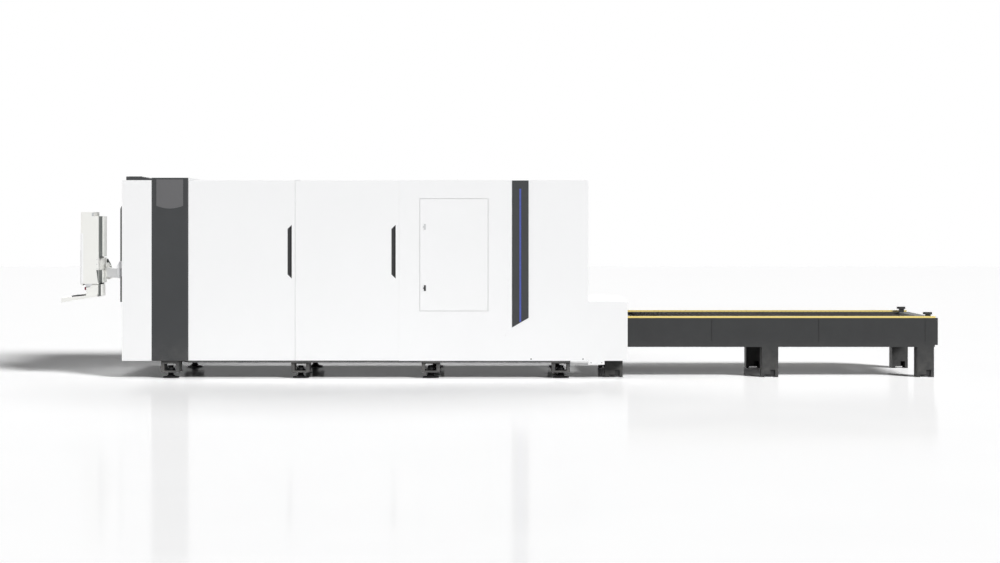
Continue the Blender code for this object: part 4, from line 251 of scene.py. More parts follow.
def finished(name, bm, coat_name, body, replaces=()):
    """Turns bm into a named object with a finish that rides on a body."""
    bmesh.ops.recalc_face_normals(bm, faces=bm.faces[:])
    for face in bm.faces:
        face.smooth = True
    mesh = bpy.data.meshes.new(name)
    bm.to_mesh(mesh)
    bm.free()
    mesh.set_sharp_from_angle(angle=SHARP_ANGLE)
    mesh.materials.append(finish(coat_name))
    piece = bpy.data.objects.new(name, mesh)
    bpy.context.scene.collection.objects.link(piece)
    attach(piece, body)
    if replaces:
        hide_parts(*replaces)


# Shader groups

def feed(tree, node, values):
    """Fills a node's inputs, which are values or sockets to link."""
    for socket, value in values.items():
        if isinstance(value, bpy.types.NodeSocket):
            tree.links.new(value, node.inputs[socket])
        else:
            node.inputs[socket].default_value = value


def add_node(tree, kind, values=None, **settings):
    node = tree.nodes.new(kind)
    for key, value in settings.items():
        setattr(node, key, value)
    feed(tree, node, values or {})
    return node


def mix_colours(tree, factor, first, second):
    return add_node(tree, "ShaderNodeMix", {0: factor, 6: first, 7: second}, data_type="RGBA").outputs[2]


def noise(tree, vector, scale, detail=2.0, roughness=0.5):
    values = {"Vector": vector, "Scale": scale, "Detail": detail, "Roughness": roughness}
    return add_node(tree, "ShaderNodeTexNoise", values).outputs["Fac"]


def remap(tree, value, low, high, to_low, to_high, smooth=False):
    values = {"Value": value, "From Min": low, "From Max": high, "To Min": to_low, "To Max": to_high}
    kind = "SMOOTHSTEP" if smooth else "LINEAR"
    return add_node(tree, "ShaderNodeMapRange", values, interpolation_type=kind).outputs["Result"]


def calculate(tree, operation, first, second):
    return add_node(tree, "ShaderNodeMath", {0: first, 1: second}, operation=operation).outputs["Value"]


def brightened(tree, colour, level):
    values = {0: colour, "Scale": level}
    return add_node(tree, "ShaderNodeVectorMath", values, operation="SCALE").outputs["Vector"]


def mapped(tree, vector, scale, location=(0, 0, 0)):
    values = {"Vector": vector, "Scale": scale, "Location": location}
    return add_node(tree, "ShaderNodeMapping", values).outputs["Vector"]


def height_of(tree, vector):
    return add_node(tree, "ShaderNodeSeparateXYZ", {"Vector": vector}).outputs["Z"]


def new_group(name, inputs, outputs):
    """A shader group whose sockets' kinds follow from their values; returns the tree, inputs and end node."""
    tree = bpy.data.node_groups.new(name, "ShaderNodeTree")
    kinds = {float: "NodeSocketFloat", tuple: "NodeSocketColor"}
    tree.interface.new_socket("Vector", in_out="INPUT", socket_type="NodeSocketVector")
    for socket, value in inputs.items():
        made = tree.interface.new_socket(socket, in_out="INPUT", socket_type=kinds[type(value)])
        made.default_value = value
    for socket in outputs:
        kind = kinds[tuple if socket == "Colour" else float]
        tree.interface.new_socket(socket, in_out="OUTPUT", socket_type=kind)
    return tree, add_node(tree, "NodeGroupInput").outputs, add_node(tree, "NodeGroupOutput")


def coat_grain_group():
    """Powder coat: fine orange peel, a slow drift of tone and a slightly uneven gloss."""
    tree, given, result = new_group("coat grain", {
        "Colour": (0.5, 0.5, 0.5, 1), "Grain": 400.0, "Tone": 0.03, "Gloss low": 0.38, "Gloss high": 0.50,
    }, ("Colour", "Roughness", "Height"))
    vector = given["Vector"]
    fine = noise(tree, vector, given["Grain"], 2.0, 0.6)
    slow = noise(tree, vector, 1.3, 3.0, 0.55)
    patch = noise(tree, vector, 7.0, 4.0, 0.6)
    less = calculate(tree, "SUBTRACT", 1.0, given["Tone"])
    more = calculate(tree, "ADD", 1.0, given["Tone"])
    toned = brightened(tree, given["Colour"], remap(tree, slow, 0.3, 0.7, less, more))
    speck = remap(tree, fine, 0.62, 0.78, 0.0, 0.10)
    feed(tree, result, {
        "Colour": mix_colours(tree, speck, toned, (0.35, 0.35, 0.36, 1)),
        "Roughness": remap(tree, patch, 0.3, 0.7, given["Gloss low"], given["Gloss high"]),
        "Height": fine,
    })
    return tree


def floor_dust_group():
    """Workshop dust that thins out with height over the floor."""
    tree, given, result = new_group("floor dust", {
        "Colour": (0.5, 0.5, 0.5, 1), "Dust": (0.45, 0.43, 0.40, 1), "Reach": 0.5, "Amount": 0.3,
    }, ("Colour", "Mask"))
    vector = given["Vector"]
    fade = remap(tree, height_of(tree, vector), 0.0, given["Reach"], 1.0, 0.0, smooth=True)
    cloud = remap(tree, noise(tree, vector, 9.0, 5.0, 0.62), 0.35, 0.75, 0.15, 1.0)
    mask = calculate(tree, "MULTIPLY", calculate(tree, "MULTIPLY", fade, cloud), given["Amount"])
    feed(tree, result, {"Colour": mix_colours(tree, mask, given["Colour"], given["Dust"]), "Mask": mask})
    return tree


def mill_scale_group():
    """Bare steel with mill scale, stains and a trace of rust."""
    tree, given, result = new_group("mill scale", {
        "Steel": (0.40, 0.40, 0.41, 1), "Scale colour": (0.10, 0.10, 0.11, 1), "Rust": (0.22, 0.09, 0.04, 1),
        "Rust amount": 0.2, "Size": 12.0,
    }, ("Colour", "Roughness", "Height"))
    vector = given["Vector"]
    broad = noise(tree, vector, given["Size"], 6.0, 0.65)
    scale_mask = remap(tree, broad, 0.42, 0.60, 0.0, 1.0, smooth=True)
    rust_mask = remap(tree, noise(tree, vector, 31.0, 6.0, 0.7), 0.55, 0.70, 0.0, given["Rust amount"])
    colour = mix_colours(tree, scale_mask, given["Steel"], given["Scale colour"])
    feed(tree, result, {
        "Colour": mix_colours(tree, rust_mask, colour, given["Rust"]),
        "Roughness": remap(tree, broad, 0.3, 0.7, 0.34, 0.62),
        "Height": noise(tree, vector, 160.0, 3.0, 0.6),
    })
    return tree


def scorch_group():
    """Heat marks and spatter towards the top of something that stands under the laser."""
    tree, given, result = new_group("scorch", {
        "Colour": (0.3, 0.3, 0.3, 1), "Scorch": (0.035, 0.030, 0.028, 1), "Top": 0.68, "Depth": 0.05,
    }, ("Colour", "Mask"))
    vector = given["Vector"]
    below = calculate(tree, "SUBTRACT", given["Top"], height_of(tree, vector))
    uneven = calculate(tree, "MULTIPLY", noise(tree, vector, 26.0, 4.0, 0.6), given["Depth"])
    reach = calculate(tree, "ADD", uneven, given["Depth"])
    mask = remap(tree, below, 0.0, reach, 0.9, 0.0, smooth=True)
    spatter = remap(tree, noise(tree, vector, 340.0, 2.0, 0.5), 0.60, 0.68, 0.0, 0.5)
    colour = mix_colours(tree, mask, given["Colour"], given["Scorch"])
    spots = calculate(tree, "MULTIPLY", spatter, mask)
    feed(tree, result, {"Colour": mix_colours(tree, spots, colour, (0.11, 0.10, 0.09, 1)), "Mask": mask})
    return tree


def brushed_group():
    """Fine parallel brushing on bare metal, along a vector that is stretched beforehand."""
    tree, given, result = new_group("brushed metal", {"Colour": (0.6, 0.6, 0.6, 1)},
                                    ("Colour", "Roughness", "Height"))
    lines = noise(tree, given["Vector"], 1.0, 3.0, 0.6)
    feed(tree, result, {
        "Colour": brightened(tree, given["Colour"], remap(tree, lines, 0.3, 0.7, 0.88, 1.06)),
        "Roughness": remap(tree, lines, 0.3, 0.7, 0.24, 0.40),
        "Height": lines,
    })
    return tree


GROUP_MAKERS = {
    "coat grain": coat_grain_group,
    "floor dust": floor_dust_group,
    "mill scale": mill_scale_group,
    "scorch": scorch_group,
    "brushed metal": brushed_group,
}


def use_group(tree, name, values):
    """Puts a shader group in a tree and returns its outputs."""
    group = bpy.data.node_groups.get(name) or GROUP_MAKERS[name]()
    return add_node(tree, "ShaderNodeGroup", values, node_tree=group).outputs


# Materials

def start_material(name):
    """A material with a Principled shader and the object's own coordinates."""
    material = bpy.data.materials.new(name)
    material.use_nodes = True
    tree = material.node_tree
    place = add_node(tree, "ShaderNodeTexCoord").outputs["Object"]
    return material, tree, tree.nodes["Principled BSDF"], place


def bump(tree, height, distance, strength):
    values = {"Height": height, "Distance": distance, "Strength": strength}
    return add_node(tree, "ShaderNodeBump", values).outputs["Normal"]


def wide(colour):
    return (*colour[:3], 1)


def grained(tree, place, colour, tone, gloss, grain):
    return use_group(tree, "coat grain", {"Vector": place, "Colour": wide(colour), "Grain": grain,
                                          "Tone": tone, "Gloss low": gloss[0], "Gloss high": gloss[1]})


def rougher(tree, roughness, mask, share):
    return calculate(tree, "ADD", roughness, calculate(tree, "MULTIPLY", mask, share))


def coat(name, colour, tone=0.02, gloss=(0.38, 0.48), grain=420.0, dust=0.10, reach=0.5, depth=0.0004,
         specular=0.5):
    """Powder coat with orange peel, drifting tone and a little floor dust low down."""
    material, tree, shader, place = start_material(name)
    coated = grained(tree, place, colour, tone, gloss, grain)
    dusty = use_group(tree, "floor dust", {"Vector": place, "Colour": coated["Colour"], "Amount": dust,
                                           "Reach": reach})
    feed(tree, shader, {"Base Color": dusty["Colour"], "Specular IOR Level": specular,
                        "Roughness": rougher(tree, coated["Roughness"], dusty["Mask"], 0.3),
                        "Normal": bump(tree, coated["Height"], depth, 0.35)})
    return material


def bare_steel(name, steel, scale_colour, rust=0.2, size=12.0, metallic=0.85, specular=0.5):
    """Uncoated steel with mill scale."""
    material, tree, shader, place = start_material(name)
    metal = use_group(tree, "mill scale", {"Vector": place, "Steel": wide(steel), "Size": size,
                                           "Scale colour": wide(scale_colour), "Rust amount": rust})
    feed(tree, shader, {"Base Color": metal["Colour"], "Roughness": metal["Roughness"], "Metallic": metallic,
                        "Specular IOR Level": specular, "Normal": bump(tree, metal["Height"], 0.0006, 0.4)})
    return material


def slat_steel(name, top):
    """Steel of the pallets' slats, scorched along the teeth."""
    material, tree, shader, place = start_material(name)
    metal = use_group(tree, "mill scale", {"Vector": place, "Steel": (0.042, 0.042, 0.045, 1), "Size": 18.0,
                                           "Scale colour": (0.014, 0.014, 0.016, 1), "Rust amount": 0.08})
    burnt = use_group(tree, "scorch", {"Vector": place, "Colour": metal["Colour"], "Top": top,
                                       "Depth": 0.022})
    feed(tree, shader, {"Base Color": burnt["Colour"], "Specular IOR Level": 0.15,
                        "Roughness": rougher(tree, metal["Roughness"], burnt["Mask"], 0.2),
                        "Normal": bump(tree, metal["Height"], 0.0008, 0.5)})
    return material


def brushed(name, colour, stretch=(4.0, 260.0, 260.0)):
    """Bright metal, brushed along the axis that is stretched least."""
    material, tree, shader, place = start_material(name)
    metal = use_group(tree, "brushed metal", {"Vector": mapped(tree, place, stretch), "Colour": wide(colour)})
    feed(tree, shader, {"Base Color": metal["Colour"], "Roughness": metal["Roughness"], "Metallic": 1.0,
                        "Normal": bump(tree, metal["Height"], 0.0002, 0.3)})
    return material


def moulded(name, colour, gloss=(0.42, 0.56), grain=900.0, weight=0.0):
    """Moulded plastic or rubber with a fine spark-eroded texture."""
    material, tree, shader, place = start_material(name)
    skin = grained(tree, place, colour, 0.03, gloss, grain)
    feed(tree, shader, {"Base Color": skin["Colour"], "Roughness": skin["Roughness"], "Coat Weight": weight,
                        "Normal": bump(tree, skin["Height"], 0.0002, 0.4)})
    return material


def tinted_window(name):
    """Laser-safe window: green tinted sheet with faint wipe marks."""
    material, tree, shader, place = start_material(name)
    marks = noise(tree, mapped(tree, place, (3.0, 9.0, 3.0)), 3.0, 5.0, 0.7)
    tint = mix_colours(tree, remap(tree, marks, 0.4, 0.7, 0.0, 1.0), (0.12, 0.30, 0.20, 1),
                       (0.15, 0.34, 0.24, 1))
    feed(tree, shader, {"Base Color": tint, "Roughness": remap(tree, marks, 0.35, 0.7, 0.03, 0.12),
                        "Transmission Weight": 0.85, "IOR": 1.49})
    return material


def light_diffuser(name, colour):
    """Milky blue strip with a soft glow and a mottled tone."""
    material, tree, shader, place = start_material(name)
    cells = noise(tree, mapped(tree, place, (8.0, 8.0, 40.0)), 1.0, 2.0, 0.5)
    toned = mix_colours(tree, remap(tree, cells, 0.3, 0.7, 0.0, 1.0), wide([part * 0.92 for part in colour]),
                        wide([min(1.0, part * 1.10) for part in colour]))
    feed(tree, shader, {"Base Color": toned, "Emission Color": toned, "Emission Strength": 0.12,
                        "Roughness": remap(tree, cells, 0.3, 0.7, 0.28, 0.36)})
    return material


def screen_glass(name):
    """Screen that is off: near black glass with finger marks."""
    material, tree, shader, place = start_material(name)
    smears = noise(tree, mapped(tree, place, (1.0, 7.0, 11.0)), 2.0, 6.0, 0.65)
    dark = mix_colours(tree, remap(tree, smears, 0.4, 0.7, 0.0, 1.0), (0.010, 0.013, 0.018, 1),
                       (0.022, 0.026, 0.034, 1))
    feed(tree, shader, {"Base Color": dark, "Roughness": remap(tree, smears, 0.35, 0.7, 0.06, 0.24),
                        "Coat Weight": 0.6})
    return material


# Each finish by name: its maker and the maker's values, where a word stands for a setting of that name.
FINISHES = {
    "white coat": (coat, "white", 0.006, (0.36, 0.46), "grain", 0.05, 0.45),
    "dark coat": (coat, "dark", 0.05, (0.40, 0.52), "grain", 0.10, 0.6),
    "inset paint": (coat, "inset", 0.03, (0.34, 0.44), 520.0, 0.0),
    "table coat": (coat, "table", 0.05, (0.56, 0.68), "grain", 0.16, 0.5, 0.0004, 0.3),
    "bed coat": (coat, (0.035, 0.036, 0.038), 0.08, (0.45, 0.60), 300.0, 0.25, 0.6),
    "tube coat": (coat, (0.30, 0.31, 0.32), 0.05, (0.44, 0.56), 380.0, 0.15, 0.6),
    "lift coat": (coat, (0.14, 0.145, 0.15), 0.06, (0.42, 0.56), 360.0, 0.15, 0.6),
    "yellow paint": (coat, "yellow", 0.03, (0.36, 0.50), 460.0, 0.0),
    "console coat": (coat, "console", 0.006, (0.38, 0.48), 520.0, 0.0),
    "cover coat": (coat, (0.122, 0.131, 0.126), 0.05, (0.42, 0.54), 520.0, 0.0),
    "arm coat": (coat, (0.860, 0.865, 0.875), 0.02, (0.34, 0.44), 520.0, 0.0),
    "casting grey": (coat, (0.52, 0.53, 0.54), 0.04, (0.48, 0.60), 240.0, 0.0, 0.5, 0.0008),
    "door coat": (coat, (0.20, 0.205, 0.21), 0.04, (0.38, 0.50), 420.0, 0.0),
    "cabinet coat": (coat, (0.66, 0.66, 0.64), 0.02, (0.42, 0.52), 420.0, 0.0),
    "galvanised": (bare_steel, (0.55, 0.56, 0.57), (0.38, 0.39, 0.41), 0.05, 26.0),
    "pallet steel": (bare_steel, (0.026, 0.026, 0.028), (0.012, 0.012, 0.013), 0.08, 9.0, 0.0, 0.15),
    "black steel": (bare_steel, (0.045, 0.045, 0.048), (0.022, 0.022, 0.024), 0.04, 30.0, 0.6),
    "outer slats": (slat_steel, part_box("outer_pallet")[1].z),
    "inner slats": (slat_steel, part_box("inner_pallet")[1].z),
    "bright steel": (brushed, (0.62, 0.62, 0.63)),
    "guide steel": (brushed, (0.55, 0.56, 0.57), (260.0, 4.0, 260.0)),
    "aluminium": (brushed, (0.70, 0.71, 0.72), (160.0, 160.0, 6.0)),
    "brass": (brushed, (0.72, 0.50, 0.22), (120.0, 120.0, 20.0)),
    "dark plastic": (moulded, (0.030, 0.030, 0.032)),
    "black plastic": (moulded, (0.018, 0.018, 0.019), (0.36, 0.50)),
    "grey plastic": (moulded, (0.45, 0.46, 0.47)),
    "light plastic": (moulded, (0.60, 0.61, 0.62)),
    "head black": (moulded, (0.035, 0.036, 0.040), (0.28, 0.40), 600.0),
    "rubber": (moulded, (0.020, 0.020, 0.020), (0.62, 0.78), 500.0),
    "red plastic": (moulded, (0.300, 0.020, 0.060), (0.28, 0.38), 900.0, 0.2),
    "green plastic": (moulded, (0.020, 0.250, 0.070), (0.28, 0.38)),
    "amber plastic": (moulded, (0.650, 0.330, 0.030), (0.28, 0.38)),
    "window glass": (tinted_window,),
    "blue light": (light_diffuser, "blue"),
    "screen glass": (screen_glass,),
}


def finish(name):
    """A finish by name, made when it is first asked for."""
    material = bpy.data.materials.get(name)
    if material is None:
        chosen = bpy.context.scene.cutter_finish
        maker, *values = FINISHES[name]
        values = [getattr(chosen, value) if isinstance(value, str) else value for value in values]
        material = maker(name, *values)
    return material


CAD_FINISHES = {
    "white coat": ("front_section", "roof_panel", "side_panel_near", "side_panel_far", "rear_wall",
                   "entry_hood", "side_door_front", "side_door_rear", "cabinet_door"),
    "dark coat": ("front_bezel", "front_band", "roof_visor", "accent_strip_near", "accent_strip_far"),
    "dark plastic": ("pull_cup_front", "pull_cup_rear", "lower_latch"),
    "inset paint": ("band_inset_near", "band_inset_far"),
    "blue light": ("light_line_near", "light_line_far"),
    "table coat": ("table_frame",),
    "bed coat": ("bed_frame",),
    "tube coat": ("enclosure_frame",),
    "galvanised": ("scrap_tray_1", "scrap_tray_2", "scrap_tray_3"),
    "yellow paint": ("edge_strip_near", "edge_strip_far"),
    "lift coat": ("lift_frame",),
    "pallet steel": ("outer_pallet", "inner_pallet"),
    "casting grey": ("gantry_beam", "z_slide"),
    "door coat": ("front_door", "y_carriage"),
    "head black": ("cutting_head",),
    "console coat": ("console_housing", "console_lower_box", "keyboard_tray", "arm_head"),
    "cover coat": ("upper_rear_cover", "lower_rear_cover"),
    "arm coat": ("arm_link", "arm_wall_bracket"),
    "screen glass": ("console_screen",),
    "black plastic": ("keyboard",),
    "cabinet coat": ("control_cabinet",),
    "light plastic": ("control_gear", "upper_latch"),
    "window glass": ("front_window",),
    "red plastic": ("e_stop_button",),
    "black steel": tuple(f"levelling_foot_{side}_{index}"
                         for side in ("near", "far") for index in range(1, 5)),
}


class CUTTER_OT_finishes(Operator):
    """Give every solid of the frame its finish"""
    bl_idname = "cutter.finishes"
    bl_label = "Finishes"

    def execute(self, context):
        missing = set(NODES) - {node for nodes in CAD_FINISHES.values() for node in nodes}
        if missing:
            raise RuntimeError(f"no finish for {sorted(missing)}")
        for name, nodes in CAD_FINISHES.items():
            material = finish(name)
            for node in nodes:
                for slot in NODES[node].material_slots:
                    slot.material = material
        return {"FINISHED"}


# Levelling feet

FOOT_COUNT = 4
BRACKET_FLOOR = 0.0843
NUT_HEIGHT = 0.030
NUT_BEVEL = 0.0025


def foot_profile(settings, stud_radius, disc_radius, top):
    """Disc with its rubber pad, ball seat and threaded stud, from the floor up."""
    pad = settings.pad_thickness
    depth = settings.thread_depth
    pitch = settings.thread_pitch
    profile = [
        (0, 0), (disc_radius * 0.93, 0), (disc_radius * 0.95, pad * 0.3), (disc_radius * 0.95, pad),
        (disc_radius, pad + 0.001), (disc_radius, pad + 0.006), (disc_radius * 0.97, pad + 0.008),
        (disc_radius * 0.62, pad + 0.013), (disc_radius * 0.45, pad + 0.018),
        (disc_radius * 0.40, pad + 0.026),
    ]
    height = pad + 0.030
    while height < top - pitch:
        profile += [(stud_radius, height), (stud_radius - depth, height + pitch / 2)]
        height += pitch
    return profile + [(stud_radius - depth, top - 0.002), (stud_radius * 0.8, top), (0, top)]


class CUTTER_OT_feet(Operator):
    """Make the levelling feet: padded discs, threaded studs and hex lock nuts"""
    bl_idname = "cutter.feet"
    bl_label = "Levelling feet"

    def execute(self, context):
        settings = context.scene.cutter_foot
        for side in ("near", "far"):
            for index in range(1, FOOT_COUNT + 1):
                node = f"levelling_foot_{side}_{index}"
                low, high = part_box(node)
                place = Vector(((low.x + high.x) / 2, (low.y + high.y) / 2, 0))
                disc = (high.x - low.x) / 2
                bm = bmesh.new()
                lathe(bm, foot_profile(settings, disc / 3, disc, high.z), place, "Z", 40)
                middle = place + Vector((0, 0, BRACKET_FLOOR + NUT_HEIGHT / 2))
                cylinder(bm, middle, disc / 2, NUT_HEIGHT, "Z", 6, bevel=NUT_BEVEL)
                finished(f"foot_{side}_{index}", bm, "black steel", "machine", [node])
        return {"FINISHED"}


# Shuttle pallets

RAIL_WIDTH = 0.050
RAIL_HEIGHT = 0.065
RAIL_RISE = 0.0025
RAIL_WALL = 0.008
RAIL_FLANGE = 0.007
RAIL_MARGIN = 0.024
COMB_INSET = 0.040
BAR_WIDTH = 0.040
BAR_OVERLAP = 0.020
CROSS_BARS = 3
CROSS_BAR_HEIGHT = 0.0165
WHEELS = 4
WHEEL_RADIUS = 0.035
WHEEL_WIDTH = 0.0238
WHEEL_END = 0.300
SLAT_DEPTH = 0.0885
SLAT_END = 0.050
SLAT_SIDE = 0.0515


def slat(settings, low, high, half):
    """One slat from a strip whose upper edge is drawn up into saw teeth."""
    piece = bmesh.new()
    teeth = settings.teeth
    middle = (low + high) / 2
    turned_up = Matrix.Translation((0, 0, middle)) @ TURNS["X"]
    bmesh.ops.create_grid(piece, x_segments=1, y_segments=2 * teeth, size=1, matrix=turned_up)
    for vert in piece.verts:
        step = round((vert.co.y + 1) * teeth)
        tip = high if step % 2 else high - settings.tooth_height
        vert.co.y *= half
        vert.co.z = tip if vert.co.z > middle else low
    push_faces(piece, piece.faces[:], (settings.slat_thickness, 0, 0))
    bmesh.ops.recalc_face_normals(piece, faces=piece.faces[:])
    return piece


def pallet_rails(bm, low, high, outer):
    """Channel rails, end bars, cross bars and the comb strips that keep the slats apart."""
    inner = outer - RAIL_WIDTH
    bottom = low.z + RAIL_RISE
    top = bottom + RAIL_HEIGHT
    wall = outer - RAIL_WALL
    channel = [(inner, bottom), (outer, bottom), (outer, top), (inner, top), (inner, top - RAIL_FLANGE),
               (wall, top - RAIL_FLANGE), (wall, bottom + RAIL_FLANGE), (inner, bottom + RAIL_FLANGE)]
    for side in SIDES:
        plate(bm, [(side * across, up) for across, up in channel], "X", low.x, high.x, 0.0015)
        cube(bm, (low.x + COMB_INSET, side * (inner - 0.008), bottom + 0.018),
             (high.x - COMB_INSET, side * (inner - 0.003), top - 0.004))
    reach = inner + BAR_OVERLAP
    for x in (low.x, high.x - BAR_WIDTH):
        cube(bm, (x, -reach, bottom), (x + BAR_WIDTH, reach, top), 0.003)
    step = (high.x - low.x - BAR_WIDTH) / (CROSS_BARS + 1)
    for index in range(1, CROSS_BARS + 1):
        x = low.x + step * index
        cube(bm, (x, -reach, bottom), (x + BAR_WIDTH, reach, bottom + CROSS_BAR_HEIGHT), 0.002)


def wheel_profile(radius, width):
    """Half section of a wheel with its flange towards the rail and a dished outer face."""
    return [(0, 0), (radius, 0), (radius, 0.0035), (radius * 0.95, 0.006), (radius * 0.94, width - 0.002),
            (radius * 0.88, width), (radius * 0.74, width), (radius * 0.70, width - 0.005),
            (radius * 0.36, width - 0.005), (radius * 0.33, width), (0, width)]


def pallet_wheels(bm, low, high, outer):
    height = low.z + WHEEL_RADIUS
    step = (high.x - low.x - 2 * WHEEL_END) / (WHEELS - 1)
    for index in range(WHEELS):
        x = low.x + WHEEL_END + step * index
        for side in SIDES:
            piece = bmesh.new()
            lathe(piece, wheel_profile(WHEEL_RADIUS, WHEEL_WIDTH), (0, 0, 0), "Y", 28)
            turn = Matrix.Rotation(math.pi if side == NEAR else 0, 4, "Z")
            absorb(bm, piece, Matrix.Translation((x, side * outer, height)) @ turn)
            cylinder(bm, (x, side * (outer - 0.012), height), 0.011, 0.010, "Y", 6)


class CUTTER_OT_pallets(Operator):
    """Make both shuttle pallets with serrated slats, channel rails and flanged wheels"""
    bl_idname = "cutter.pallets"
    bl_label = "Shuttle pallets"

    def execute(self, context):
        settings = context.scene.cutter_pallet
        pitch = settings.slat_pitch
        for node, slats_finish in (("outer_pallet", "outer slats"), ("inner_pallet", "inner slats")):
            low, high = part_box(node)
            outer = high.y - RAIL_MARGIN
            rails = bmesh.new()
            pallet_rails(rails, low, high, outer)
            finished(f"{node}_rails", rails, "pallet steel", node, [node])
            wheels = bmesh.new()
            pallet_wheels(wheels, low, high, outer)
            finished(f"{node}_wheels", wheels, "black steel", node, [node])
            usable = high.x - low.x - 2 * SLAT_END
            count = int(usable / pitch)
            first = low.x + SLAT_END + (usable - pitch * (count - 1)) / 2
            places = [Matrix.Translation((first + pitch * index, 0, 0)) for index in range(count)]
            slats = bmesh.new()
            repeat(slats, slat(settings, high.z - SLAT_DEPTH, high.z, outer - SLAT_SIDE), places)
            finished(f"{node}_slats", slats, slats_finish, node, [node])
        return {"FINISHED"}


# Table

LEGS = ((5.396, 5.595), (7.159, 7.343), (8.905, 9.093))
LEG_SCREWS = (5.72, 6.45, 7.18, 7.95, 8.70, 9.04)
TABLE_SEAMS = (6.5955, 7.7980, 8.9965)
SEAM_HALF = 0.0018
SEAM_PROUD = 0.0005
WEB_INSET = 0.012
WEB_HALF = 0.002
WEB_PLACE = 1.070
LEG_BOLT_PLACE = 0.93
LEG_WELD_RISE = 0.3395
WELD_RADIUS = 0.0035
STOP_PLACE = 1.005
STOP_PAD_HALF = 0.036


class CUTTER_OT_table(Operator):
    """Add the exchange table's fasteners, weld seams, stop pads and the webs inside its legs"""
    bl_idname = "cutter.table"
    bl_label = "Exchange table"

    def execute(self, context):
        low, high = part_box("table_frame")
        strip_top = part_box("edge_strip_near")[1].z
        bolts, welds, pads, webs = (bmesh.new() for _ in range(4))
        for side in SIDES:
            for first, last in LEGS:
                for x in (along(first) + 0.030, along(last) - 0.030):
                    bolt(bolts, (x, side * LEG_BOLT_PLACE, 0.0105), "Z", 0.010, 0.012)
                place = ((along(first) + along(last)) / 2, side * (high.y - 0.001 - WELD_RADIUS),
                         low.z + LEG_WELD_RISE)
                cylinder(welds, place, WELD_RADIUS, last - first, "X", 8)
                cube(webs, (along(first) + WEB_INSET, side * WEB_PLACE - WEB_HALF, 0.0115),
                     (along(last) - WEB_INSET, side * WEB_PLACE + WEB_HALF, 0.110))
            for x in LEG_SCREWS:
                screw(bolts, (along(x), side * (high.y - 0.010), strip_top), "Z", 0.0055)
            for y in (0.332, 0.608):
                for z in (0.60, 0.42):
                    bolt(bolts, (high.x, side * y, z), "X", 0.009, 0.010)
            for seam in TABLE_SEAMS:
                cube(webs, (along(seam) - SEAM_HALF, side * high.y - SEAM_PROUD, 0.366),
                     (along(seam) + SEAM_HALF, side * high.y + SEAM_PROUD, 0.662))
            cube(pads, (along(8.986), side * STOP_PLACE - STOP_PAD_HALF, 0.704),
                 (along(8.9975), side * STOP_PLACE + STOP_PAD_HALF, 0.728), 0.003)
        finished("table_bolts", bolts, "black steel", "machine")
        finished("table_leg_welds", welds, "table coat", "machine")
        finished("table_stop_pads", pads, "rubber", "machine")
        finished("table_leg_webs", webs, "black plastic", "machine")
        return {"FINISHED"}


# Enclosure

PANEL_SCREW = 0.0065
ROOF_SCREWS = 7
ROOF_SCREW_PITCH = 0.42
KNUCKLE_RADIUS = 0.0036
KNUCKLE_LENGTH = 0.0094
SEAL_HALF = 1.170
HATCH_HINGE = 4.2785
VISOR_LIP = ((0.0258, 2.2128), (0.0485, 2.2128), (0.0485, 2.2548), (0.0300, 2.2548), (0.0258, 2.2500))
FLASHING = ((0.7393, 2.2104), (0.7600, 2.2104), (0.7470, 2.2365), (0.7393, 2.2365))
FLASHING_HALF = 1.335
DOORWAY = ((-0.680, 0.928), (0.320, 1.840))
SEAL_WIDTH = 0.012
RIM_DEPTH = 0.0175
RIM_BORDER = 0.026


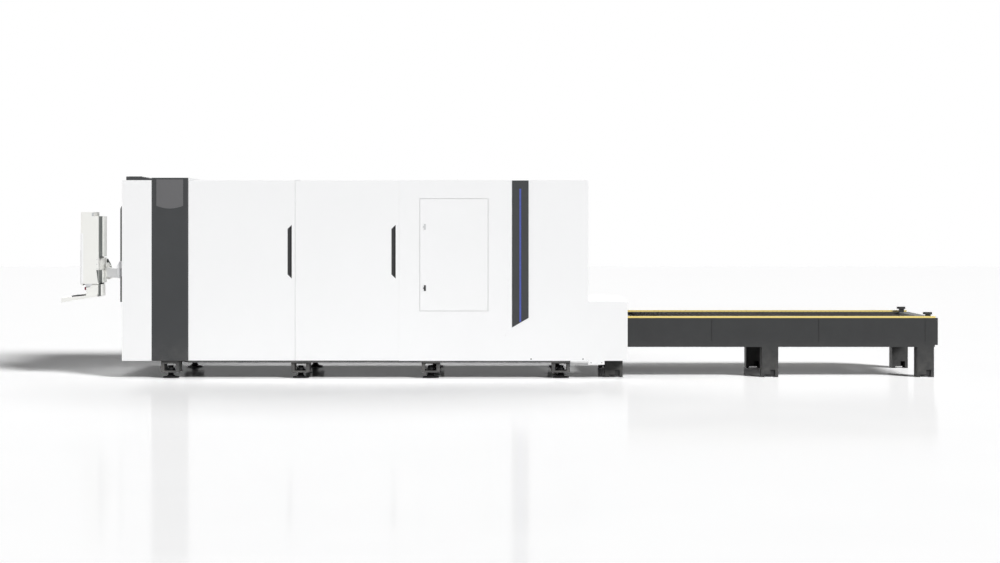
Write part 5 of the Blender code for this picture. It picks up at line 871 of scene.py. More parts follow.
class CUTTER_OT_panel_trim(Operator):
    """Add the enclosure's small trim: hatch hinges, screws, seals, the visor's lip and the flashing"""
    bl_idname = "cutter.panel_trim"
    bl_label = "Panel trim"

    def execute(self, context):
        self.make_hatch_trim(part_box("side_panel_near")[0].y)
        self.make_panel_screws()
        self.make_visor_trim()
        return {"FINISHED"}

    def make_hatch_trim(self, near):
        knuckles = bmesh.new()
        for height in (0.4837, 0.2775):
            for shift in (-0.010, 0.0, 0.010):
                middle = (along(HATCH_HINGE), near - 0.0022, height + shift)
                cylinder(knuckles, middle, KNUCKLE_RADIUS, KNUCKLE_LENGTH, "Z", 14)
        finished("hatch_hinges", knuckles, "white coat", "machine")
        screws = bmesh.new()
        for x, z, radius in ((4.561, 0.2155, 0.0075), (5.1406, 0.2155, 0.0075), (5.230, 0.1745, 0.0050),
                             (5.350, 0.1745, 0.0050)):
            screw(screws, (along(x), near, z), "Y", radius, NEAR)
        finished("sill_screws", screws, "dark plastic", "machine")

    def make_panel_screws(self):
        caps = bmesh.new()
        low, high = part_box("roof_panel")
        for x in (low.x + 0.04, low.x + 1.52, low.x + 3.00, high.x - 0.04):
            for step in range(ROOF_SCREWS):
                y = ROOF_SCREW_PITCH * (step - (ROOF_SCREWS - 1) / 2)
                screw(caps, (x, y, high.z - 0.0002), "Z", PANEL_SCREW)
        low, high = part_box("rear_wall")
        top_row = [(y, high.z - 0.045) for y in (-1.30, -0.65, 0.0, 0.65, 1.30)]
        for y, z in top_row + [(y, z) for y in (-1.30, 1.30) for z in (1.10, 1.45, 1.80)]:
            screw(caps, (high.x, y, z), "X", PANEL_SCREW)
        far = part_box("side_panel_far")[1].y
        for x in (3.16, 3.85, 4.60, 5.14):
            for z in (0.245, 1.18, 2.16):
                screw(caps, (along(x), far, z), "Y", PANEL_SCREW)
        finished("panel_screws", caps, "bright steel", "machine")

    def make_visor_trim(self):
        low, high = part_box("roof_visor")
        seal = bmesh.new()
        for side in SIDES:
            screw(seal, (low.x + 0.020, side * 1.10, low.z + 0.010), "X", 0.006, -1)
        cube(seal, (low.x + 0.010, -SEAL_HALF, low.z - 0.0005), (high.x - 0.004, SEAL_HALF, low.z + 0.002))
        finished("visor_seal", seal, "rubber", "machine")
        lip = bmesh.new()
        plate(lip, outline_along(VISOR_LIP), "Y", low.y, high.y, 0.0015)
        finished("visor_lip", lip, "dark coat", "machine")
        flashing = bmesh.new()
        plate(flashing, outline_along(FLASHING), "Y", -FLASHING_HALF, FLASHING_HALF, 0.0005)
        finished("roof_flashing", flashing, "white coat", "machine")


class CUTTER_OT_bezel_trim(Operator):
    """Add the bezel's door seal, its row of cap screws and its raised rim"""
    bl_idname = "cutter.bezel_trim"
    bl_label = "Bezel trim"

    def execute(self, context):
        low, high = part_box("front_bezel")
        (left, bottom), (right, top) = DOORWAY
        seal = bmesh.new()
        ring(seal, (low.x - 0.0015, left - SEAL_WIDTH, bottom - SEAL_WIDTH),
             (low.x + 0.004, right + SEAL_WIDTH, top + SEAL_WIDTH), SEAL_WIDTH - 0.0002)
        finished("doorway_seal", seal, "rubber", "machine")
        places = [(y, z) for y in (-1.10, -0.80, 0.45, 0.75, 1.10) for z in (low.z + 0.030, high.z - 0.030)]
        places += [(y, z) for y in (low.y + 0.035, high.y - 0.035) for z in (1.05, 1.72)]
        screws = bmesh.new()
        for y, z in places:
            screw(screws, (low.x, y, z), "X", 0.0060, -1)
        finished("bezel_screws", screws, "black steel", "machine")
        self.make_rim(low, high)
        return {"FINISHED"}

    def make_rim(self, low, high):
        rim = bmesh.new()
        front = low.x - RIM_DEPTH
        crest = front + 0.012
        post = [(low.x, low.z), (front, low.z), (front, high.z - 0.030), (crest, high.z), (low.x, high.z)]
        for first, last in ((low.y, low.y + RIM_BORDER), (high.y - RIM_BORDER, high.y)):
            plate(rim, post, "Y", first, last, 0.0015)
        for bottom, top in ((low.z, low.z + RIM_BORDER), (high.z - RIM_BORDER, high.z)):
            cube(rim, (crest, low.y + RIM_BORDER, bottom), (low.x, high.y - RIM_BORDER, top), 0.0015)
        finished("bezel_rim", rim, "cover coat", "machine")


class CUTTER_OT_front_door(Operator):
    """Add the front door's window gasket and the bolted frame on its inner face"""
    bl_idname = "cutter.front_door"
    bl_label = "Front door"

    def execute(self, context):
        low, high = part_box("front_window")
        middle = (low.x + high.x) / 2
        gasket = bmesh.new()
        ring(gasket, (middle - 0.0112, low.y, low.z), (middle + 0.0112, high.y, high.z), 0.014)
        finished("window_gasket", gasket, "rubber", "front_door")
        low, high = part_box("front_door")
        inner = bmesh.new()
        ring(inner, (high.x, low.y + 0.012, low.z + 0.012),
             (high.x + 0.006, high.y - 0.012, high.z - 0.012), 0.030)
        for y in (low.y + 0.10, high.y - 0.10):
            for z in (low.z + 0.027, high.z - 0.027):
                bolt(inner, (high.x + 0.006, y, z), "X", 0.007, 0.008)
        finished("door_inner_frame", inner, "tube coat", "front_door")
        return {"FINISHED"}


# Gantry, carriage and head

MOTOR_HEIGHT = 0.620
TRUCK_FACE = 1.098
MOTOR_FINS = 7
FIN_FIRST = 0.012
FIN_PITCH = 0.010
FIN_RADIUS = 0.0535
FIN_THICKNESS = 0.0035
MOTOR_BOLT_REACH = 0.048
BEAM_COVERS = 5
BEAM_COVER_FIRST = -0.88
BEAM_COVER_PITCH = 0.36
BEAM_COVER_LENGTH = 0.32
RAIL_PLACE = 0.990
RACK_PLACE = 1.062
RACK_HALF = 0.010
RACK_BOTTOM = 0.5003
RACK_TOP = 0.5180
RACK_START = 0.34
TOOTH_START = 0.35
TOOTH_TOP = 0.5228
RACK_PITCH = 1.16
RACK_COUNT = 4
TOOTH_PITCH = 0.0115
TOOTH_COUNT = 400
CHAIN_LINKS = 38
CHAIN_FIRST = -0.86
HEAD_AXIS_INSET = 0.042


def motor_fins(bm, place, side):
    """Cooling fins, end bell and plugs of a drive motor on the outside of a truck."""
    for index in range(MOTOR_FINS):
        y = place.y + side * (FIN_FIRST + FIN_PITCH * index)
        cylinder(bm, (place.x, y, place.z), FIN_RADIUS, FIN_THICKNESS, "Y", 32)
    cylinder(bm, (place.x, place.y + side * 0.0985, place.z), 0.043, 0.004, "Y", 32, bevel=0.001)
    cube(bm, (place.x - 0.018, place.y + side * 0.070, place.z + 0.045),
         (place.x + 0.018, place.y + side * 0.096, place.z + 0.066), 0.003)


def chain_link(pitch):
    """A link of the cable chain: two cross bars between two side plates."""
    link = bmesh.new()
    for bottom, top in ((0.0, 0.0045), (0.0255, 0.030)):
        cube(link, (-0.024, -pitch * 0.46, bottom), (0.024, pitch * 0.46, top), 0.001, 1)
    for x in (-0.026, 0.022):
        cube(link, (x, -pitch * 0.50, 0.001), (x + 0.004, pitch * 0.50, 0.029), 0.001, 1)
    return link


class CUTTER_OT_gantry(Operator):
    """Add the gantry's motor fins, rail carriages, covers, cable chain, racks and fasteners"""
    bl_idname = "cutter.gantry"
    bl_label = "Gantry"

    def execute(self, context):
        low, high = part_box("gantry_beam")
        middle = (low.x + high.x) / 2
        self.make_trucks(middle)
        covers = bmesh.new()
        for index in range(BEAM_COVERS):
            y = BEAM_COVER_FIRST + BEAM_COVER_PITCH * index
            cube(covers, (low.x + 0.0885, y, high.z), (middle + 0.060, y + BEAM_COVER_LENGTH, high.z + 0.003),
                 0.001)
        finished("beam_covers", covers, "dark coat", "gantry")
        pitch = context.scene.cutter_head.chain_pitch
        chain = bmesh.new()
        places = [Matrix.Translation((middle - 0.004, CHAIN_FIRST + pitch * index, high.z + 0.0035))
                  for index in range(CHAIN_LINKS)]
        repeat(chain, chain_link(pitch), places)
        finished("cable_chain", chain, "black plastic", "gantry")
        self.make_racks()
        return {"FINISHED"}

    def make_trucks(self, middle):
        motors, blocks, bolts = (bmesh.new() for _ in range(3))
        for side in SIDES:
            motor_fins(motors, Vector((middle, side * TRUCK_FACE, MOTOR_HEIGHT)), side)
            for x in (middle - 0.150, middle + 0.150):
                cube(blocks, (x - 0.045, side * RAIL_PLACE - 0.034, 0.5312),
                     (x + 0.045, side * RAIL_PLACE + 0.034, 0.5600), 0.002)
                for shift in (-0.030, 0.030):
                    bolt(bolts, (x + shift, side * 1.0803, 0.600), "Y", 0.007, 0.009, side)
            for dx in (-MOTOR_BOLT_REACH, MOTOR_BOLT_REACH):
                for dz in (-MOTOR_BOLT_REACH, MOTOR_BOLT_REACH):
                    bolt(bolts, (middle + dx, side * TRUCK_FACE, MOTOR_HEIGHT + dz), "Y", 0.0055, 0.007, side)
        finished("drive_motors", motors, "black steel", "gantry")
        finished("rail_carriages", blocks, "bright steel", "gantry")
        finished("gantry_bolts", bolts, "black steel", "gantry")

    def make_racks(self):
        racks = bmesh.new()
        tooth = bmesh.new()
        cube(tooth, (-0.0028, -0.009, -0.005), (0.0028, 0.009, 0.0), 0.0008, 1)
        for side in SIDES:
            for index in range(RACK_COUNT):
                first = along(RACK_START) + RACK_PITCH * index
                cube(racks, (first, side * RACK_PLACE - RACK_HALF, RACK_BOTTOM),
                     (first + RACK_PITCH - 0.003, side * RACK_PLACE + RACK_HALF, RACK_TOP))
        places = [Matrix.Translation((along(TOOTH_START) + TOOTH_PITCH * index, side * RACK_PLACE, TOOTH_TOP))
                  for side in SIDES for index in range(TOOTH_COUNT)]
        repeat(racks, tooth, places)
        finished("drive_racks", racks, "guide steel", "machine")


class CUTTER_OT_head(Operator):
    """Make the cutting head with its nozzle, lens drawer and fibre plug, and dress the carriage"""
    bl_idname = "cutter.head"
    bl_label = "Cutting head"

    def execute(self, context):
        low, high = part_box("cutting_head")
        place = (high.x - HEAD_AXIS_INSET, (low.y + high.y) / 2, low.z)
        mouth = context.scene.cutter_head.nozzle_mouth
        nozzle = bmesh.new()
        lathe(nozzle, [(mouth, 0.004), (mouth, 0), (0.0055, 0), (0.0075, 0.004), (0.0135, 0.018),
                       (0.0135, 0.024), (0.0115, 0.025), (0.0115, 0.030), (0.0045, 0.030), (mouth, 0.004)],
              place, "Z", 40)
        finished("nozzle", nozzle, "brass", "head")
        ceramic = bmesh.new()
        lathe(ceramic, [(0, 0.030), (0.0165, 0.030), (0.0175, 0.032), (0.0175, 0.041), (0.0160, 0.043),
                        (0, 0.043)], place, "Z", 40)
        finished("ceramic_ring", ceramic, "light plastic", "head")
        self.make_barrel(place, high.z - low.z)
        self.dress_carriage()
        return {"FINISHED"}

    def make_barrel(self, place, tall):
        x, y, z = place
        body = bmesh.new()
        lathe(body, [
            (0, 0.043), (0.0200, 0.043), (0.0260, 0.048), (0.0260, 0.078), (0.0275, 0.080), (0.0275, 0.096),
            (0.0300, 0.098), (0.0405, 0.205), (0.0420, 0.208), (0.0420, 0.250), (0.0400, 0.252),
            (0.0400, 0.262), (0.0420, 0.264), (0.0420, 0.330), (0.0395, 0.333), (0.0395, 0.345),
            (0.0420, 0.348), (0.0420, 0.450), (0.0380, 0.458), (0.0380, 0.470), (0.0420, 0.474),
            (0.0420, tall - 0.032), (0.0300, tall - 0.024), (0.0255, tall - 0.020), (0.0255, tall), (0, tall),
        ], place, "Z", 48)
        cube(body, (x - 0.052, y - 0.026, z + 0.290), (x - 0.020, y + 0.026, z + tall - 0.062), 0.002)
        finished("head_barrel", body, "head black", "head", ["cutting_head"])
        trim = bmesh.new()
        cube(trim, (x - 0.020, y - 0.0425, z + 0.265), (x + 0.0415, y + 0.0425, z + 0.300), 0.003)
        for shift in (-0.022, 0.022):
            cylinder(trim, (x + 0.0405, y + shift, z + 0.2825), 0.0060, 0.004, "X", 20, bevel=0.0008)
        for inner, outer, bottom, top, steps in ((0.026, 0.0425, tall - 0.060, tall - 0.048, 48),
                                                 (0.020, 0.0345, 0.112, 0.115, 40),
                                                 (0.020, 0.0345, 0.150, 0.153, 40)):
            lathe(trim, [(inner, bottom), (outer, bottom), (outer, top), (inner, top)], place, "Z", steps)
        finished("head_trim", trim, "aluminium", "head")

    def dress_carriage(self):
        low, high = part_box("y_carriage")
        bolts = bmesh.new()
        for y in (low.y + 0.020, high.y - 0.020):
            for z in (0.905, 0.985, 1.065, 1.145, 1.215):
                bolt(bolts, (high.x, y, z), "X", 0.006, 0.007)
        finished("carriage_bolts", bolts, "black steel", "carriage")
        low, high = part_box("z_slide")
        guides = bmesh.new()
        for y in (low.y + 0.014, high.y - 0.030):
            cube(guides, (high.x, y, low.z + 0.010), (high.x + 0.003, y + 0.016, high.z - 0.010), 0.001)
        finished("slide_guides", guides, "guide steel", "head")


# Control cabinet

GEAR_ROWS = 4
DRIVES = 5
VENTS = 6
BREAKERS = 18
GEAR_MARGIN = 0.03
PLATE_THICKNESS = 0.004
VENT_PITCH = 0.009


def device(width, depth, height):
    """A module with a stepped nose and a toggle."""
    bm = bmesh.new()
    middle = height / 2
    cube(bm, (0, 0, 0), (width, depth - 0.018, height), 0.0015, 1)
    cube(bm, (0, depth - 0.020, middle - 0.024), (width, depth - 0.003, middle + 0.024), 0.0015, 1)
    cube(bm, (width / 2 - 0.004, depth - 0.005, middle - 0.010),
         (width / 2 + 0.004, depth + 0.004, middle + 0.002), 0.001, 1)
    return bm


class CUTTER_OT_cabinet(Operator):
    """Fit the control cabinet with rails, wiring ducts, breakers and drives, and cap its latches"""
    bl_idname = "cutter.cabinet"
    bl_label = "Control cabinet"

    def execute(self, context):
        low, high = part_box("control_gear")
        face = high.y - PLATE_THICKNESS
        panel = bmesh.new()
        cube(panel, (low.x, face, low.z), (high.x, high.y, high.z))
        finished("mounting_plate", panel, "galvanised", "machine", ["control_gear"])
        ducts, breakers, drives, rails = (bmesh.new() for _ in range(4))
        pitch = (high.z - low.z - 0.05) / GEAR_ROWS
        for row in range(GEAR_ROWS):
            base = low.z + 0.06 + pitch * row
            cube(ducts, (low.x + 0.010, face - 0.050, base - 0.050),
                 (high.x - 0.010, face - 0.001, base - 0.015), 0.002, 1)
            cube(rails, (low.x + 0.015, face - 0.008, base + 0.060),
                 (high.x - 0.015, face - 0.001, base + 0.095))
            if row % 2:
                self.add_drives(drives, ducts, low, high, face, base)
            else:
                self.add_breakers(breakers, low, high, face, base)
        for name, bm, coat_name, slot in (("wiring_ducts", ducts, "grey plastic", "light_plastic"),
                                          ("breakers", breakers, "light plastic", "light_plastic"),
                                          ("servo_drives", drives, "dark plastic", "dark_plastic"),
                                          ("mounting_rails", rails, "bright steel", "foot_steel")):
            finished(name, bm, coat_name, "machine", ["control_gear"])
        self.make_latch("upper_latch", "light plastic")
        self.make_latch("lower_latch", "dark plastic")
        return {"FINISHED"}

    def add_drives(self, drives, vents, low, high, face, base):
        width = (high.x - low.x - 2 * GEAR_MARGIN) / DRIVES
        for index in range(DRIVES):
            x = low.x + GEAR_MARGIN + width * index
            cube(drives, (x, low.y + 0.004, base), (x + width - 0.012, face - 0.009, base + 0.170), 0.003, 2)
            for vent in range(VENTS):
                z = base + 0.110 + VENT_PITCH * vent
                cube(vents, (x + 0.010, low.y + 0.002, z), (x + width - 0.022, low.y + 0.006, z + 0.004))

    def add_breakers(self, breakers, low, high, face, base):
        width = (high.x - low.x - 2 * GEAR_MARGIN) / BREAKERS
        for index in range(BREAKERS):
            x = low.x + GEAR_MARGIN + width * (index + 1)
            turn = Matrix.Translation((x, face - 0.010, base + 0.035)) @ Matrix.Rotation(math.pi, 4, "Z")
            absorb(breakers, device(width - 0.0015, 0.062, 0.085), turn)

    def make_latch(self, node, plastic):
        low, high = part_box(node)
        x = (low.x + high.x) / 2
        z = (low.z + high.z) / 2
        bm = bmesh.new()
        cylinder(bm, (x, low.y - 0.0012, z), 0.0078, 0.0024, "Y", 24, bevel=0.0006)
        cube(bm, (x - 0.0012, low.y - 0.0030, z - 0.005), (x + 0.0012, low.y - 0.0020, z + 0.005))
        finished(f"{node}_cap", bm, plastic, node)


# Console

PANEL_HALF = 0.200
PANEL_BOTTOM = 1.040
PANEL_TOP = 1.430
BUTTON_ROWS = (1.375, 1.315)
BUTTON_PITCH = 0.070
CAP_COLOURS = ("green", "red", "amber", "grey")
TOP_ROW = ("green", "red", "grey", "grey", "amber")
WHEEL_HEIGHT = 1.225
KEY_ROWS = 5
KEY_DEPTH = 0.0045
KEY_SHARE = 0.44
KEY_ROW_PITCH = 0.0215
TRAY_SLOPE = math.atan2(0.016, 0.405)
STOP_CAP = 0.016
SHEET = 0.0012
CAP_SPAN = ((-0.3700, 1.810), (-0.3465, 1.847))
FASCIA_SPAN = ((-0.4900, 1.050), (-0.4660, 1.616))
FASCIA_STRIP_SPAN = ((-0.4932, 1.050), (-0.4902, 1.616))
COVER_HALF = 0.170
COVER_BACK_HALF = 0.169
SHELL_FRONT = -0.2947
SHELL_BOTTOM = 1.060
SHELL_TOP = 1.204
SIDE_SHEET = ((-0.3190, 1.2035), (-0.2950, 1.2035), (-0.2950, 1.0600), (-0.2990, 1.0600))
NECK_GASKET = ((-0.456, 1.0486), (-0.366, 1.0486), (-0.388, 1.0200), (-0.424, 1.0160))
LOUVRES = 14
LOUVRE_PITCH = 0.018
LOUVRE_FIRST = 1.50
LOUVRE_HALF = 0.120


class CUTTER_OT_console(Operator):
    """Dress the console: operator panel, buttons, screen rim, keys, stop button and covers"""
    bl_idname = "cutter.console"
    bl_label = "Operator's console"

    def execute(self, context):
        settings = context.scene.cutter_console
        low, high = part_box("console_housing")
        middle = (low.y + high.y) / 2
        front = low.x - settings.plate_thickness
        self.make_panel(low.x, front, middle)
        self.make_buttons(front, middle, settings.button_radius)
        self.make_screen_rim()
        self.make_keys(settings.key_pitch, middle)
        self.make_stop_button()
        self.dress_sides(low, high)
        self.make_covers(low, high, middle)
        return {"FINISHED"}

    def make_panel(self, back, front, middle):
        bm = bmesh.new()
        cube(bm, (front, middle - PANEL_HALF, PANEL_BOTTOM), (back, middle + PANEL_HALF, PANEL_TOP), 0.0015)
        for side in SIDES:
            for z in (PANEL_BOTTOM + 0.012, PANEL_TOP - 0.012):
                screw(bm, (front, middle + side * (PANEL_HALF - 0.012), z), "X", 0.004, -1)
        finished("operator_panel", bm, "light plastic", "console")

    def make_buttons(self, front, middle, radius):
        rings = bmesh.new()
        caps = {colour: bmesh.new() for colour in CAP_COLOURS}
        for row, z in enumerate(BUTTON_ROWS):
            for index, colour in enumerate(TOP_ROW):
                y = middle + BUTTON_PITCH * (index - 2)
                lathe(rings, [(0.0100, 0), (0.0145, 0), (0.0145, 0.003), (0.0130, 0.005), (0.0100, 0.005)],
                      (front - 0.005, y, z), "X", 28)
                cap = caps["grey" if row else colour]
                cylinder(cap, (front - 0.0035, y, z), radius * 0.84, 0.007, "X", 24, bevel=0.0012)
        cylinder(rings, (front - 0.004, middle + 0.140, WHEEL_HEIGHT), 0.0165, 0.008, "X", 32, bevel=0.0015)
        cube(rings, (front - 0.012, middle + 0.137, 1.213), (front - 0.006, middle + 0.143, 1.237), 0.001)
        cube(rings, (front - 0.003, middle - 0.165, 1.195), (front, middle - 0.095, 1.255), 0.002)
        finished("button_rings", rings, "black plastic", "console")
        for colour, bm in caps.items():
            finished(f"buttons_{colour}", bm, f"{colour} plastic", "console")
        wheel = bmesh.new()
        lathe(wheel, [(0, 0), (0.030, 0), (0.032, 0.002), (0.032, 0.010), (0.030, 0.013), (0.026, 0.013),
                      (0.024, 0.010), (0, 0.010)], (front - 0.013, middle - 0.005, WHEEL_HEIGHT), "X", 48)
        finished("jog_wheel", wheel, "black plastic", "console")

    def make_screen_rim(self):
        low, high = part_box("console_screen")
        bm = bmesh.new()
        ring(bm, (low.x - 0.0035, low.y - 0.004, low.z - 0.004),
             (low.x + 0.0005, high.y + 0.004, high.z + 0.004), 0.014)
        finished("screen_rim", bm, "black plastic", "console")

    def make_keys(self, pitch, middle):
        low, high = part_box("keyboard")
        half = pitch * KEY_SHARE
        tilt = Matrix.Rotation(-TRAY_SLOPE, 4, "Y")
        key = bmesh.new()
        cube(key, (-half, -half, 0), (half, half, KEY_DEPTH), 0.0012, 1)
        columns = int((high.y - low.y - 0.02) / pitch)
        places = []
        for row in range(KEY_ROWS):
            back = 0.016 + KEY_ROW_PITCH * row
            z = high.z - 0.0030 - back * math.tan(TRAY_SLOPE) * 2.2
            for column in range(columns):
                y = middle + pitch * (column - (columns - 1) / 2)
                places.append(Matrix.Translation((high.x - back, y, z)) @ tilt)
        keys = bmesh.new()
        repeat(keys, key, places)
        finished("keys", keys, "dark plastic", "console")

    def make_stop_button(self):
        low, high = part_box("e_stop_button")
        middle = (low + high) / 2
        radius = (high.y - low.y) / 2
        depth = high.x - low.x
        cap = bmesh.new()
        lathe(cap, [(0, 0), (radius * 0.55, 0.0006), (radius * 0.85, 0.003), (radius * 0.97, 0.007),
                    (radius, 0.011), (radius * 0.96, STOP_CAP), (0.008, STOP_CAP), (0.008, depth),
                    (0, depth)], (low.x, middle.y, middle.z), "X", 40)
        finished("stop_button", cap, "red plastic", "e_stop", ["e_stop_button"])
        collar = bmesh.new()
        lathe(collar, [(0.0086, 0), (0.0150, 0), (0.0165, 0.0006), (0.0165, 0.0016), (0.0086, 0.0016)],
              (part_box("console_lower_box")[0].x - 0.0016, middle.y, middle.z), "X", 40)
        finished("stop_collar", collar, "black plastic", "console")

    def dress_sides(self, low, high):
        """Corner caps, fascia sheets with their edge strips and screws on both sides of the housing."""
        edges = ((low.y, NEAR), (high.y, FAR))
        sheets = (("corner_caps", "grey plastic", "dark_plastic", CAP_SPAN, 0.0005),
                  ("fascia_sheets", "white coat", "white_paint", FASCIA_SPAN, 0.0004),
                  ("fascia_strips", "grey plastic", "dark_plastic", FASCIA_STRIP_SPAN, 0.0004))
        for name, coat_name, slot, ((front, bottom), (back, top)), bevel in sheets:
            bm = bmesh.new()
            for edge, side in edges:
                cube(bm, (along(front), edge, bottom), (along(back), edge + side * SHEET, top), bevel, 1)
            finished(name, bm, coat_name, "console")
        screws = bmesh.new()
        for edge, side in edges:
            for z in (1.320, 1.268, 1.217):
                screw(screws, (along(-0.3125), edge, z), "Y", 0.0052, side)
        finished("clevis_screws", screws, "grey plastic", "console")

    def make_covers(self, low, high, middle):
        """Pale backs and louvres of the rear covers, the lower cover's shell and the gasket below."""
        upper_low, upper_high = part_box("upper_rear_cover")
        lower_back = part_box("lower_rear_cover")[1].x
        backs = bmesh.new()
        for index in range(LOUVRES):
            z = LOUVRE_FIRST + LOUVRE_PITCH * index
            cube(backs, (upper_high.x, middle - LOUVRE_HALF, z),
                 (upper_high.x + 0.0032, middle + LOUVRE_HALF, z + 0.008), 0.0008, 1)
        cube(backs, (upper_high.x, upper_low.y + 0.001, upper_low.z + 0.001),
             (upper_high.x + 0.0014, upper_high.y - 0.001, upper_high.z - 0.001), 0.0004, 1)
        left = middle - COVER_BACK_HALF
        right = middle + COVER_BACK_HALF
        cube(backs, (lower_back - 0.001, left, 1.061), (lower_back + 0.001, right, 1.203), 0.0004, 1)
        cube(backs, (along(-0.2735), left, 0.913), (along(-0.2715), right, 1.043), 0.0004, 1)
        finished("cover_backs", backs, "console coat", "console")
        shell = bmesh.new()
        cube(shell, (along(SHELL_FRONT), middle - COVER_HALF, SHELL_BOTTOM),
             (lower_back - 0.001, middle + COVER_HALF, SHELL_TOP), 0.001)
        for edge, side in ((low.y, NEAR), (high.y, FAR)):
            plate(shell, outline_along(SIDE_SHEET), "Y", *sorted((edge, edge + side * SHEET)))
        finished("lower_cover_shell", shell, "cover coat", "console")
        gasket = bmesh.new()
        plate(gasket, outline_along(NECK_GASKET), "Y", low.y + 0.001, high.y - 0.001, 0.001)
        finished("neck_gasket", gasket, "light plastic", "console")


# Swing arm

ELBOW = (-0.195, -1.000)
WALL_PIVOT = (-0.045, -1.250)
TONGUE_PLACE = -0.900
TONGUE_GUARD_HALF = 0.0275
NECK_GUARD = ((-0.2228, 1.3290), (-0.2195, 1.3290), (-0.1860, 1.2620), (-0.1860, 1.2430), (-0.2180, 1.2430),
              (-0.2290, 1.2980))
COLLAR_RADIUS = 0.0380
CABLE_COVER = (0.080, 0.0135, 0.0022)


class CUTTER_OT_arm(Operator):
    """Add the swing arm's pivot caps, bolts, elbow collar, cable cover and the neck's dark guard"""
    bl_idname = "cutter.arm"
    bl_label = "Swing arm"

    def execute(self, context):
        link_low, link_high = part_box("arm_link")
        elbow = Vector((along(ELBOW[0]), ELBOW[1], 0))
        pivot = Vector((along(WALL_PIVOT[0]), WALL_PIVOT[1], 0))
        guard = bmesh.new()
        plate(guard, outline_along(NECK_GUARD), "Y", TONGUE_PLACE - TONGUE_GUARD_HALF,
              TONGUE_PLACE + TONGUE_GUARD_HALF, 0.001)
        finished("neck_guard", guard, "black plastic", "arm_head")
        caps = bmesh.new()
        cap_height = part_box("arm_head")[0].z + 0.002
        cylinder(caps, (elbow.x, elbow.y, cap_height), 0.0150, 0.006, "Z", 28, bevel=0.001)
        for shift in (0.015, -0.015):
            bolt(caps, (elbow.x + 0.023, elbow.y + shift, link_high.z + 0.0163), "Z", 0.0062, 0.007)
        finished("elbow_caps", caps, "dark plastic", "arm_head")
        collar = bmesh.new()
        cylinder(collar, (elbow.x, elbow.y, (link_low.z + link_high.z) / 2), COLLAR_RADIUS,
                 link_high.z - link_low.z - 0.0006, "Z", 48, bevel=0.001)
        finished("elbow_collar", collar, "console coat", "arm_link")
        self.make_bracket_bolts()
        self.make_cable_cover(pivot, elbow, link_low.z)
        return {"FINISHED"}

    def make_bracket_bolts(self):
        low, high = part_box("arm_wall_bracket")
        bolts = bmesh.new()
        for y in (low.y + 0.012, high.y - 0.012):
            for z in (high.z - 0.018, high.z - 0.060):
                screw(bolts, (along(-0.012), y, z), "X", 0.0062, -1)
        finished("bracket_bolts", bolts, "bright steel", "machine")

    def make_cable_cover(self, pivot, elbow, bottom):
        half_length, half_width, thickness = CABLE_COVER
        middle = (pivot + elbow) / 2
        turn = Matrix.Rotation(math.atan2(elbow.y - pivot.y, elbow.x - pivot.x), 4, "Z")
        piece = bmesh.new()
        cube(piece, (-half_length, -half_width, 0), (half_length, half_width, thickness), 0.0010, 2)
        cover = bmesh.new()
        absorb(cover, piece, Matrix.Translation((middle.x, middle.y, bottom - thickness)) @ turn)
        finished("link_cable_cover", cover, "dark plastic", "arm_link")


# Stage

FLOOR_HALF = 60
FLOOR_BACK = 20
FLOOR_DROP = 0.0002
FLOOR_MIRROR = 0.12
SHADE_SCALE = (0.26, 0.16, 0)
SHADE_SHIFT = (0.42, 0, 0)
KEY_TOWARDS = (1.02, -1.568, 1.0)
FILLS = (("back fill", (-0.6, 1.4, 1.0), 1.0), ("left fill", (-1.4, -0.5, 0.8), 0.55))
BACK_LIGHT_TOWARDS = (1.5, -0.35, 0.5)
BACK_LIGHT_SHARE = 1.1
LENS = 98.03
SHIFT = (0.0024, -0.0565)
CAMERA_SIDE = -0.022


def floor_material(name):
    """Polished pale floor: a soft mirror and, for the camera, the white of the background, greyed by painted
    shade towards the machine.
    """
    material, tree, shader, place = start_material(name)
    tree.nodes.remove(shader)
    cloud = noise(tree, place, 0.8, 3.0, 0.5)
    colour = mix_colours(tree, cloud, (0.90, 0.90, 0.905, 1), (0.94, 0.94, 0.94, 1))
    paths = add_node(tree, "ShaderNodeLightPath").outputs
    # Painted shade: for the camera the floor is whitened less towards the machine, so it greys around the
    # machine as if the machine shaded it.
    painted_shade_place = mapped(tree, place, SHADE_SCALE, SHADE_SHIFT)
    reach = add_node(tree, "ShaderNodeVectorMath", {0: painted_shade_place}, operation="LENGTH").outputs["Value"]
    white = remap(tree, reach, 0.5, 1.4, 1.75, 2.5, smooth=True)
    gain = remap(tree, paths["Is Camera Ray"], 0.0, 1.0, 1.0, white)
    matt = add_node(tree, "ShaderNodeBsdfDiffuse", {"Color": brightened(tree, colour, gain)})
    rough = remap(tree, cloud, 0.3, 0.7, 0.08, 0.12)
    mirror = add_node(tree, "ShaderNodeBsdfGlossy", {"Color": (1, 1, 1, 1), "Roughness": rough})
    mixed = add_node(tree, "ShaderNodeMixShader", {0: FLOOR_MIRROR, 1: matt.outputs[0], 2: mirror.outputs[0]})
    feed(tree, tree.nodes["Material Output"], {"Surface": mixed.outputs[0]})
    return material


def room_world(strength):
    """Even room light, and white where the camera, glass or metal looks past the object."""
    world = bpy.data.worlds.new("room")
    world.use_nodes = True
    tree = world.node_tree
    paths = add_node(tree, "ShaderNodeLightPath").outputs
    seen = calculate(tree, "MAXIMUM", paths["Is Camera Ray"], paths["Is Transmission Ray"])
    seen = calculate(tree, "MAXIMUM", seen, paths["Is Glossy Ray"])
    level = remap(tree, seen, 0.0, 1.0, strength, 1.0)
    feed(tree, tree.nodes["Background"], {"Color": (1, 1, 1, 1), "Strength": level})
    bpy.context.scene.world = world


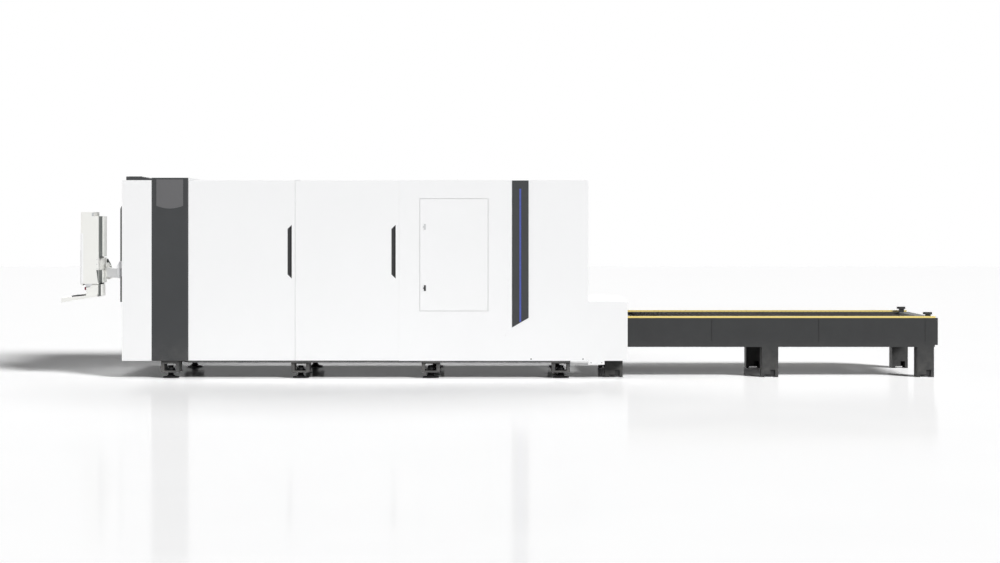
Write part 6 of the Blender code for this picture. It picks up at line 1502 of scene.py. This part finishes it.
class CUTTER_OT_stage(Operator):
    """Set up the pale floor, the soft studio lights and the camera"""
    bl_idname = "cutter.stage"
    bl_label = "Stage"

    def execute(self, context):
        scene = context.scene
        settings = scene.cutter_stage
        scene.view_settings.view_transform = "Standard"
        floor = self.make_floor(scene)
        room_world(settings.world_strength)
        self.add_sun("key", KEY_TOWARDS, settings.key_strength, 16)
        without_floor = bpy.data.collections.new("not lit by the fill lights")
        without_floor.objects.link(floor)
        without_floor.collection_objects[0].light_linking.link_state = "EXCLUDE"
        for name, towards, share in FILLS:
            lamp = self.add_sun(name, towards, settings.fill_strength * share, 60)
            lamp.light_linking.receiver_collection = without_floor
        lit = bpy.data.collections.new("lit behind the console")
        for piece in (bpy.data.objects["cover_backs"], bpy.data.objects["corner_caps"], NODES["arm_head"]):
            lit.objects.link(piece)
        strength = settings.fill_strength * BACK_LIGHT_SHARE
        lamp = self.add_sun("console back light", BACK_LIGHT_TOWARDS, strength, 40)
        lamp.light_linking.receiver_collection = lit
        lamp.light_linking.blocker_collection = lit
        self.place_camera(scene, settings)
        return {"FINISHED"}

    def make_floor(self, scene):
        bm = bmesh.new()
        bmesh.ops.create_grid(bm, x_segments=1, y_segments=1, size=FLOOR_HALF)
        bmesh.ops.translate(bm, verts=bm.verts[:], vec=(0, FLOOR_BACK, -FLOOR_DROP))
        mesh = bpy.data.meshes.new("floor")
        bm.to_mesh(mesh)
        bm.free()
        mesh.materials.append(floor_material("pale floor"))
        floor = bpy.data.objects.new("floor", mesh)
        scene.collection.objects.link(floor)
        return floor

    def add_sun(self, name, towards, strength, angle):
        light = bpy.data.lights.new(name, "SUN")
        light.energy = strength
        light.angle = math.radians(angle)
        lamp = bpy.data.objects.new(name, light)
        lamp.rotation_euler = Vector(towards).to_track_quat("Z", "Y").to_euler()
        bpy.context.scene.collection.objects.link(lamp)
        return lamp

    def place_camera(self, scene, settings):
        lens = bpy.data.cameras.new("camera")
        lens.sensor_width = 36
        lens.lens = LENS
        lens.clip_end = 400
        lens.shift_x, lens.shift_y = SHIFT
        lens.dof.use_dof = False
        camera = bpy.data.objects.new("camera", lens)
        camera.location = (CAMERA_SIDE, -settings.camera_distance, settings.camera_height)
        camera.rotation_euler = (math.radians(90), 0, 0)
        scene.collection.objects.link(camera)
        scene.camera = camera


# Panel and registration

OPERATORS = (CUTTER_OT_finishes, CUTTER_OT_feet, CUTTER_OT_pallets, CUTTER_OT_table, CUTTER_OT_panel_trim,
             CUTTER_OT_bezel_trim, CUTTER_OT_front_door, CUTTER_OT_gantry, CUTTER_OT_head, CUTTER_OT_cabinet,
             CUTTER_OT_console, CUTTER_OT_arm, CUTTER_OT_stage)

SETTINGS = {
    "cutter_finish": FinishSettings,
    "cutter_foot": FootSettings,
    "cutter_pallet": PalletSettings,
    "cutter_head": HeadSettings,
    "cutter_console": ConsoleSettings,
    "cutter_stage": StageSettings,
}


class CUTTER_PT_panel(Panel):
    """Lists the machine's settings and the steps that build it"""
    bl_idname = "CUTTER_PT_panel"
    bl_label = "Laser cutting machine"
    bl_space_type = "VIEW_3D"
    bl_region_type = "UI"
    bl_category = "Cutter"

    def draw(self, context):
        layout = self.layout
        for attribute, group in SETTINGS.items():
            box = layout.box()
            for name in group.__annotations__:
                box.prop(getattr(context.scene, attribute), name)
        for operator in OPERATORS:
            layout.operator(operator.bl_idname)


CLASSES = (*SETTINGS.values(), *OPERATORS, CUTTER_PT_panel)


def register():
    for item in CLASSES:
        bpy.utils.register_class(item)
    for attribute, group in SETTINGS.items():
        setattr(bpy.types.Scene, attribute, PointerProperty(type=group))


def unregister():
    for attribute in SETTINGS:
        delattr(bpy.types.Scene, attribute)
    for item in reversed(CLASSES):
        bpy.utils.unregister_class(item)


def main():
    register()
    bpy.ops.cutter.finishes()
    bpy.ops.cutter.feet()
    bpy.ops.cutter.pallets()
    bpy.ops.cutter.table()
    bpy.ops.cutter.panel_trim()
    bpy.ops.cutter.bezel_trim()
    bpy.ops.cutter.front_door()
    bpy.ops.cutter.gantry()
    bpy.ops.cutter.head()
    bpy.ops.cutter.cabinet()
    bpy.ops.cutter.console()
    bpy.ops.cutter.arm()
    bpy.ops.cutter.stage()


if __name__ == "__main__":
    main()
